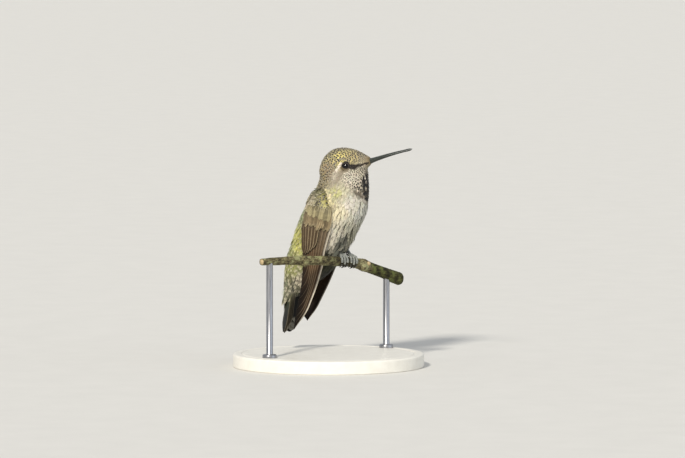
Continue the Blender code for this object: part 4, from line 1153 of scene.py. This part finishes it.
def covert_feathers(side, label):
    """Greater and median coverts in overlapping rows below the forearm's small feathers."""
    made = []
    # Upper z, lower z, first and last share, feathers, half width, how far out the row lies, colour
    rows = (
        (60.0, 52.3, 0.05, 0.84, 13, 0.95, -0.10, "#a3906f"),
        (61.2, 56.6, 0.05, 0.76, 12, 0.80, 0.12, "#c0b389"),
    )
    for top, low, first, last, count, breadth, clear, code in rows:
        for number in range(count):
            place = first + (last - first) * number / (count - 1)
            run = np.linspace(0.0, 1.0, 18)
            tip = low + RANDOM.uniform(-0.9, 0.9) + 3.2 * (place - 0.45)
            z = top + (tip - top) * run
            leading, trailing = wing_edges(z)
            centre = leading + (trailing - leading) * (place + 0.04 * run)
            half = breadth * np.sqrt(np.clip(1.0 - np.maximum(run - 0.45, 0.0) ** 2 / 0.3026, 0.02, 1.0))
            lead, trail = np.minimum(centre + half, leading), centre - half
            x, level = spread(lead, trail, z)
            height = pad_rise(x, level) + clear - 0.8 * ease(0.5, 0.1, run)[:, None] + 0.02 * number
            settled = 0.9 + 1.3 * ease(0.20, 0.45, place)
            height = height + (settled - height) * ease(55.0, 52.5, level)
            tipped = ease(0.86, 1.0, run)[:, None]
            dark = linear(code) * RANDOM.uniform(0.62, 1.35) * (0.7 + 0.3 * run[:, None])
            dark = dark * (1.0 - tipped * 0.6) + linear("#b9ab86") * tipped * 0.6
            made.append(wing_vane(side, z, lead, trail, height, 0.12, dark, linear("#c0b28e"),
                                  0.6, 0.45, 0.03))
    item = plate("great_coverts_" + label, made)
    settle(item, "covert", FLIGHT, "wing_" + label + "_coverts")


def tail_feathers(side, label):
    """A side's five tail feathers, from the green middle one to the white-tipped outer ones."""
    across = np.array((math.sin(TAIL_PITCH), side * math.cos(TAIL_PITCH), 0.0))
    outward_way = np.array((-math.cos(TAIL_PITCH), side * math.sin(TAIL_PITCH), 0.0))
    spots = np.array((-1.0, -0.97, -0.8, -0.55, -0.3, -0.06, 0.0, 0.06, 0.3, 0.55, 0.8, 0.97, 1.0))
    made = []
    for number in range(1, 6):
        reach = (TAIL_ROOT[2] - TAIL_TIPS[number - 1]) / (TAIL_ROOT[2] - TAIL_TIP[2])
        end = TAIL_ROOT + (TAIL_TIP - TAIL_ROOT) * reach
        share = 1.0 - (1.0 - np.linspace(0.0, 1.0, 36)) ** 1.4
        middle = mix(1.9 + 0.12 * (number - 1), 3.05 + 0.52 * (number - 1), share)
        half = 1.75 + 1.25 * np.minimum(share * 1.9, 1.0)
        half = half * np.minimum(1.0, 0.10 + 2.5 * (1 - share) ** 0.6)
        spine = TAIL_ROOT + (end - TAIL_ROOT) * share[:, None]
        spine = spine + outward_way * (0.4 * np.sin(math.pi * share))[:, None]
        layer = 0.18 - TAIL_LAYER * (number - 1)
        rise = layer - 0.14 * spots[None, :] ** 2 + 0.05 * np.exp(-(spots[None, :] / 0.05) ** 2)
        inner = (0.14 - rise * math.sin(TAIL_PITCH)) / math.cos(TAIL_PITCH)
        over = np.maximum(middle[:, None] + spots[None, :] * half[:, None], inner)
        grid = spine[:, None, :] + across * over[:, :, None] + outward_way * np.broadcast_to(
            rise, over.shape)[:, :, None]
        # The tips, white in life, are drawn grey as painted shade, for the tail lies in shade
        green, black, white = linear("#3f4430"), linear("#080706"), linear("#6d695f")
        if number <= 2:
            dark = ease(0.30 if number == 1 else 0.20, 0.75, share)
            tint = green * (1 - dark[:, None] * 0.95) + black * dark[:, None] * 0.95
        else:
            dark = ease(0.30, 0.52, share)
            tint = mix(linear("#5a5a4c"), black, dark[:, None])
            tint = mix(tint, white, ease(0.88, 0.92, share)[:, None])
        tint = np.repeat(tint[:, None, :], len(spots), axis=1)
        if number == 1:
            edge = (0.55 * ease(1.1, 0.3, over - inner) * ease(0.80, 0.60, share)[:, None])[:, :, None]
            tint = mix(tint, linear("#a9a894"), edge)
        mark = np.zeros(grid.shape)
        mark[:, :, 1] = ease(0.85, 1.0, np.abs(spots))[None, :] * (0.4 if number == 1 else 0.15)
        mark[:, :, 2] = 0.4
        place = np.stack(np.broadcast_arrays((0.5 + 0.5 * spots)[None, :], share[:, None]), axis=2)
        thick = np.broadcast_to(outward_way * VANE_THICKNESS, grid.shape)
        made.append((grid, thick, tint, mark, place))
    item = plate("rectrices_" + label, made)
    settle(item, "tail_green", FLIGHT, "tail_" + label)


# ---------------------------------------------------------------- bill and eyes

def bill():
    """Slender mandibles with a rounded culmen, a fine gape line and a covered nostril on each side."""
    share = np.linspace(0.0, 1.0, 60)
    angle = math.pi * np.arange(15) / 14
    flank = np.cos(angle)
    for name, upper, sign in (("mandible_upper", True, 1.0), ("mandible_lower", False, -1.0)):
        distance = -3.0 + (BILL_LENGTH + 3.0 - (0.0 if upper else 0.35)) * share
        place = np.clip(distance / BILL_LENGTH, 0.0, 1.0)
        taper = 1.0 - 0.62 * place ** 0.55
        taper = taper * np.where(place > 0.94, 1.0 - 0.75 * (place - 0.94) / 0.06, 1.0)
        swell = 0.06 * np.exp(-((place - 0.9) / 0.08) ** 2)
        tall = np.maximum(BILL_BASE_HEIGHT / 2.0 * taper + swell, 0.12)
        wide = np.maximum(BILL_BASE_WIDTH / 2.0 * taper + swell, 0.12)
        droop = 0.25 * np.sin(math.pi * place)
        ridge = np.sin(angle) ** (0.85 if upper else 1.0)
        rings = []
        for d, h, w, drop in zip(distance, tall, wide, droop):
            centre = BILL_BASE + AHEAD * d + UPWARD * drop
            rise = 0.05 + ridge * (h - 0.05)
            nostril = 0.10 * math.exp(-((d - 2.2) / 1.3) ** 2)
            nostril = nostril * np.exp(-((np.abs(flank) - 0.85) / 0.22) ** 2)
            reach = w + (nostril if upper else 0.0)
            rings.append(centre + LEFTWARD * (flank * reach)[:, None] + UPWARD * (sign * rise)[:, None])
        item = outward(capped(name, rings))
        settle(item, "bill", HORN, "bill_upper" if upper else "bill_lower")


LID_OPENING = 1.30                 # radius of the bare eye between the lids
# Round a lid's edge: how far past the opening in radians, and how far out of the eyeball
LID_EDGE = ((0.0, 0.0), (-0.01, 0.04), (0.02, 0.08), (0.06, 0.09), (0.11, 0.06), (0.20, 0.02), (0.42, -0.02),
            (0.42, -0.30), (0.15, -0.30))
LID_BEADED = (0.08, 0.09)          # the heights that carry its row of beads


def eyes():
    """Round eyeballs set in the head, each with a beaded rim of lid."""
    for side, label in SIDES:
        centre = head_point(EYE_BACK, EYE_UP, side * EYE_OUT)
        deselect()
        bpy.ops.mesh.primitive_uv_sphere_add(segments=48, ring_count=32, radius=EYE_RADIUS * MM,
                                             location=world(centre), rotation=(math.pi / 2.0, 0.0, 0.0))
        ball = bpy.context.object
        bpy.ops.object.transform_apply(location=True, rotation=True, scale=True)
        bpy.ops.object.shade_smooth()
        ball.name = ball.data.name = "eyeball_" + label
        settle(ball, "eye", WET_EYE, "eye_" + label)
        look = unit(AHEAD * 0.16 + UPWARD * 0.02 + LEFTWARD * side)
        ahead = unit(AHEAD - look * (AHEAD @ look))
        up = np.cross(look, ahead)
        up = up * (1.0 if up @ UPWARD > 0 else -1.0)
        rings = []
        for around in FULL_TURN * np.arange(72) / 72:
            opening = math.asin(LID_OPENING / EYE_RADIUS * (1.0 - 0.13 * math.sin(around) ** 2))
            bead = 0.012 * math.cos(around * 26.0)
            outwards = ahead * math.cos(around) + up * math.sin(around)
            ring = []
            for turn, lift in LID_EDGE:
                polar = opening + turn
                out = look * math.cos(polar) + outwards * math.sin(polar)
                ring.append(centre + out * (EYE_RADIUS + (lift + bead if lift in LID_BEADED else lift)))
            rings.append(ring)
        rings = np.array(rings)
        rows, columns = rings.shape[:2]
        faces = tube_faces(rows + 1, columns) % (rows * columns)
        lid = outward(build("eyelids_" + label, rings.reshape(-1, 3), faces))
        settle(lid, "foot", LID, "head")


# ---------------------------------------------------------------- perch, feet and claws

PERCH_ROWS = refine(sorted(PERCH_STATIONS), 4)


def perch_point(distance):
    """The middle of the twig at a distance along it; it bends gently to either side."""
    height = np.interp(distance, PERCH_ROWS[:, 0], PERCH_ROWS[:, 1])
    across = np.array((-PERCH_HEADING[1], PERCH_HEADING[0], 0.0))
    along = PERCH_BACK + PERCH_HEADING * distance
    return along + across * 0.35 * math.sin(distance / 9.0) + np.array((0.0, 0.0, height))


def perch_radius(distance):
    """The bark's mean radius at a distance along the twig."""
    return np.interp(distance, PERCH_ROWS[:, 0], PERCH_ROWS[:, 2])


def perch_frame(distance):
    """The twig's own directions at a distance: along it, up and forward."""
    along = unit(perch_point(distance + 0.5) - perch_point(distance - 0.5))
    forward = unit(np.cross(along, (0.0, 0.0, 1.0)))
    forward = forward if forward[0] > 0.0 else -forward
    up = unit(np.cross(forward, along))
    return along, (up if up[2] > 0.0 else -up), forward


def on_perch(distance, angle, clearance):
    """A point beside the bark, at an angle round the twig from its top."""
    _, up, forward = perch_frame(distance)
    radius = perch_radius(distance) * 1.05 + clearance
    return perch_point(distance) + up * math.cos(angle) * radius + forward * math.sin(angle) * radius


PERCH_RINGS, PERCH_SIDES = 190, 48


def perch():
    """A cut length of twig: ribbed bark, buds, knobs, the scar of a bud and sawn ends."""
    first, last = PERCH_ROWS[0][0], PERCH_ROWS[-1][0]
    rings = []
    for distance in np.linspace(first, last, PERCH_RINGS):
        _, up, forward = perch_frame(distance)
        centre, radius = perch_point(distance), perch_radius(distance)

        def grain(fine, along, start=0.0):
            spot = (math.cos(angle) * fine, math.sin(angle) * fine, distance * along + start)
            return noise.noise(Vector(spot))

        ring = []
        for step in range(PERCH_SIDES):
            angle = FULL_TURN * step / PERCH_SIDES
            way = up * math.cos(angle) + forward * math.sin(angle)
            ribs, pits, crack = grain(2.4, 0.22), grain(5.0, 0.9, 40.0), abs(grain(4.0, 0.3, 9.0))
            grip = 0.35 if abs(distance) < 6.0 else 1.0   # smoother where the feet hold it
            swell = radius * (1.0 + (0.07 * ribs + 0.05 * pits - 0.05 * ease(0.06, 0.0, crack)) * grip)
            for spot, turn, size in BUDS + KNOBS:
                round_it = math.remainder(angle - turn, FULL_TURN) * radius / 1.2
                off = math.hypot((distance - spot) / 1.3, round_it)
                swell += size * 0.8 * math.exp(-off * off * 1.4)
            ring.append(centre + way * swell)
        rings.append(ring)
    item = outward(capped("perch_twig", rings))
    settle(item, "bark", BARK, "perch")
    scar = [on_perch(-10.8, 1.15, reach) for reach in (-0.6, 0.1, 0.35, 0.40)]
    scar = outward(capped("bud_scar", round_tube(scar, [0.9, 0.75, 0.6, 0.35], 20)))
    settle(scar, "bark", CUT_WOOD, "perch")
    for label, rim, beyond in (("right", rings[-1], 0.03), ("left", rings[0], -0.03)):
        middle = np.mean(rim, axis=0)
        along = perch_frame(last if beyond > 0 else first)[0]
        along = along * (1.0 if along @ PERCH_HEADING > 0 else -1.0) * beyond
        discs = [middle + (np.array(rim) - middle) * 0.82 + along * side for side in (-1.0, 1.0)]
        settle(outward(capped("cut_end_" + label, discs)), "bark", CUT_WOOD, "perch")


TOE_CLEARANCE, CLAW_CLEARANCE = 0.20, 0.24


def feet():
    """Short scaly toes wrapped round the perch, each with a curved claw."""
    for side, label in SIDES:
        centre = -side * FOOT_SPREAD
        pieces = []
        for kind, (place, first, last) in TOE_TURNS.items():
            share = np.linspace(0.0, 1.0, 46)
            path, radii = [], []
            for s in share:
                path.append(on_perch(centre + place * TOE_SPACING * min(1.0, 0.35 + s * 1.6),
                                     first + (last - first) * s, TOE_CLEARANCE + TOE_RADIUS))
                knuckle = 0.05 * math.cos(s * math.pi * 5.0)
                scute = 0.035 * (1.0 - (s * 13.0) % 1.0)
                radii.append(TOE_RADIUS * (1.0 - 0.16 * s) + knuckle + scute - 0.02)
            pieces.append(capped("toe", round_tube(path, radii, 16)))
            turn = 1.0 if last > 0 else -1.0
            path, radii = [], []
            for s in np.linspace(0.0, 1.0, 18):
                angle = last + turn * (0.20 + s * 0.76)
                path.append(on_perch(centre + place * TOE_SPACING, angle,
                                     CLAW_CLEARANCE + TOE_RADIUS - 0.22 * s))
                radii.append((TOE_RADIUS - 0.06) * (1.0 - 0.92 * s ** 0.9) + 0.01)
            claw = outward(capped("talon_" + label + "_" + kind, round_tube(path, radii, 14)))
            settle(claw, "claw", CLAW_HORN, "claw_" + label + "_" + kind)
        sole = on_perch(centre, 0.12, TOE_CLEARANCE + TOE_RADIUS)
        knee = np.array(KNEE) * (1.0, side, 1.0)
        share = np.linspace(0.0, 1.0, 30)
        path = sole + (knee - sole) * share[:, None]
        radii = 0.54 + 0.35 * share ** 2 + 0.03 * (1.0 - (share * 9.0) % 1.0)
        pieces.append(capped("toe", round_tube(path, radii, 16)))
        foot = outward(join(pieces, "foot_" + label))
        settle(foot, "foot", SCALY, "leg_" + label)


# ---------------------------------------------------------------- stand

def select_faces(item, looks, height):
    """In edit mode, selects only the faces that look up (1) or down (-1) at a height in millimetres."""
    bpy.ops.mesh.select_all(action="DESELECT")
    bpy.ops.object.mode_set(mode="OBJECT")
    for face in item.data.polygons:
        face.select = face.normal.z * looks > 0.999 and abs(face.center.z - height * MM) < 0.002 * MM
    bpy.ops.object.mode_set(mode="EDIT")


def cylinder(name, centre, radius, low, high, sides):
    """A cylinder standing at a place, left in edit mode with nothing selected."""
    deselect()
    bpy.ops.mesh.primitive_cylinder_add(vertices=sides, radius=radius * MM, depth=(high - low) * MM,
                                        location=world(np.array((*centre, (low + high) / 2.0))))
    bpy.ops.object.transform_apply(location=True, rotation=True, scale=True)
    item = bpy.context.object
    item.name = item.data.name = name
    bpy.ops.object.mode_set(mode="EDIT")
    bpy.ops.mesh.select_mode(type="FACE")
    bpy.ops.mesh.select_all(action="DESELECT")
    return item


def finish_turned(item):
    """Leaves edit mode and smooths all but the sharp edges."""
    bpy.ops.object.mode_set(mode="OBJECT")
    bpy.ops.object.shade_smooth_by_angle(angle=math.radians(35.0))
    item.select_set(False)


ROD_GAP = 0.02                     # the rods stand this far over the base
COLLAR_HEIGHT, COLLAR_RADIUS = 1.34, 2.7


def stand():
    """A round lacquered base with a fine groove, and two brushed rods on small collars."""
    base = cylinder("base_disc", -BIRD_AT[:2], BASE_RADIUS, 0.0, BASE_HEIGHT, 160)
    select_faces(base, -1, 0.0)
    bpy.ops.mesh.bevel(offset=0.3 * MM, segments=1, affect="EDGES")
    select_faces(base, 1, BASE_HEIGHT)
    bpy.ops.mesh.bevel(offset=BASE_BEVEL * MM, segments=8, affect="EDGES")
    select_faces(base, 1, BASE_HEIGHT)
    # The top's steps inwards, each a breadth and a rise: its flat rim, then a shallow groove
    for breadth, rise in ((3.0 - BASE_BEVEL, 0.0), (0.2, -0.25), (0.5, 0.0), (0.2, 0.25)):
        bpy.ops.mesh.inset(thickness=breadth * MM, depth=rise * MM)
    finish_turned(base)
    settle(base, "stand", LACQUER, "stand_base")
    for label, distance in zip(("left", "right"), ROD_AT):
        spot = perch_point(distance)
        low = BASE_HEIGHT + ROD_GAP
        collar = low + COLLAR_HEIGHT
        rod = cylinder("rod_" + label, spot[:2], COLLAR_RADIUS, low, collar, 40)
        select_faces(rod, 1, collar)
        bpy.ops.mesh.bevel(offset=0.6 * MM, segments=4, affect="EDGES")
        select_faces(rod, 1, collar)
        bpy.ops.mesh.inset(thickness=0.75 * MM)
        bpy.ops.mesh.inset(thickness=0.10 * MM, depth=0.16 * MM)
        rise = spot[2] - collar - 0.16
        bpy.ops.mesh.extrude_region_move(TRANSFORM_OT_translate={"value": (0.0, 0.0, rise * MM)})
        finish_turned(rod)
        settle(rod, "rod", STEEL, "stand_rod_" + label)


# ---------------------------------------------------------------- camera, floor and light

CAMERA_TURN, CAMERA_RISE = math.radians(22.0), math.radians(4.0)
CAMERA_LENS, CAMERA_AWAY = 300.0, 2154.0
AIM_RIGHT, AIM_UP = -2.08, 51.4    # where the camera looks, from the stand's middle


def stage_and_light():
    """The camera, the pale floor, two lights and the room's even light."""
    azimuth, elevation = CAMERA_TURN, CAMERA_RISE
    rightward = np.array((math.cos(azimuth), math.sin(azimuth), 0.0))
    towards = np.array((math.sin(azimuth) * math.cos(elevation),
                        -math.cos(azimuth) * math.cos(elevation), math.sin(elevation)))
    target = BIRD_AT + rightward * AIM_RIGHT + np.array((0.0, 0.0, AIM_UP))
    camera = bpy.data.objects.new("camera", bpy.data.cameras.new("camera"))
    camera.data.lens, camera.data.sensor_width = CAMERA_LENS, 36.0
    camera.data.clip_start, camera.data.clip_end = 0.05, 50.0
    camera.location = (target + towards * CAMERA_AWAY) * MM
    camera.rotation_euler = Vector(-towards).to_track_quat("-Z", "Y").to_euler()
    bpy.context.scene.collection.objects.link(camera)
    bpy.context.scene.camera = camera

    deselect()
    bpy.ops.mesh.primitive_plane_add(size=60.0, location=(0.0, 0.0, 0.0))
    floor = bpy.context.object
    floor.name = floor.data.name = "floor"
    floor.data.materials.append(PLASTER)
    floor.select_set(False)

    # A broad key from the camera's left and above, a cool fill from the right, and an even pale room
    key = towards * 0.90 - rightward * 0.34 + np.array((0.0, 0.0, 0.55))
    fill = towards * 0.45 + rightward * 0.90 + np.array((0.0, 0.0, 0.25))
    for name, way, breadth, power, colour in (("key", key, 7.0, 3.4, (1.0, 0.95, 0.86)),
                                              ("fill", fill, 50.0, 0.5, (0.78, 0.88, 1.0))):
        data = bpy.data.lights.new(name, "SUN")
        data.angle, data.energy, data.color = math.radians(breadth), power, colour
        item = bpy.data.objects.new(name, data)
        item.rotation_euler = Vector(way).to_track_quat("Z", "Y").to_euler()
        bpy.context.scene.collection.objects.link(item)
    room = bpy.data.worlds.new("studio")
    room.use_nodes = True
    air = room.node_tree.nodes["Background"].inputs
    air[0].default_value, air[1].default_value = (0.86, 0.89, 0.93, 1.0), 0.62
    bpy.context.scene.world = room
    bpy.context.scene.view_settings.view_transform = "Standard"


# ---------------------------------------------------------------- assembly

def main():
    """Dresses the whole model; the order of the calls is the order of the random draws."""
    deselect()
    body = skin(body_hull())
    paint(body, "tint", plumage(mesh_arrays(body)[0])[0])
    settle(body, "belly", SKIN, *FLESH, "wing_left_shoulder", "wing_right_shoulder")
    coat(body)
    for side, label in SIDES:
        flight_feathers(side, label)
        covert_feathers(side, label)
        tail_feathers(side, label)
    bill()
    eyes()
    perch()
    feet()
    stand()
    stage_and_light()


main()
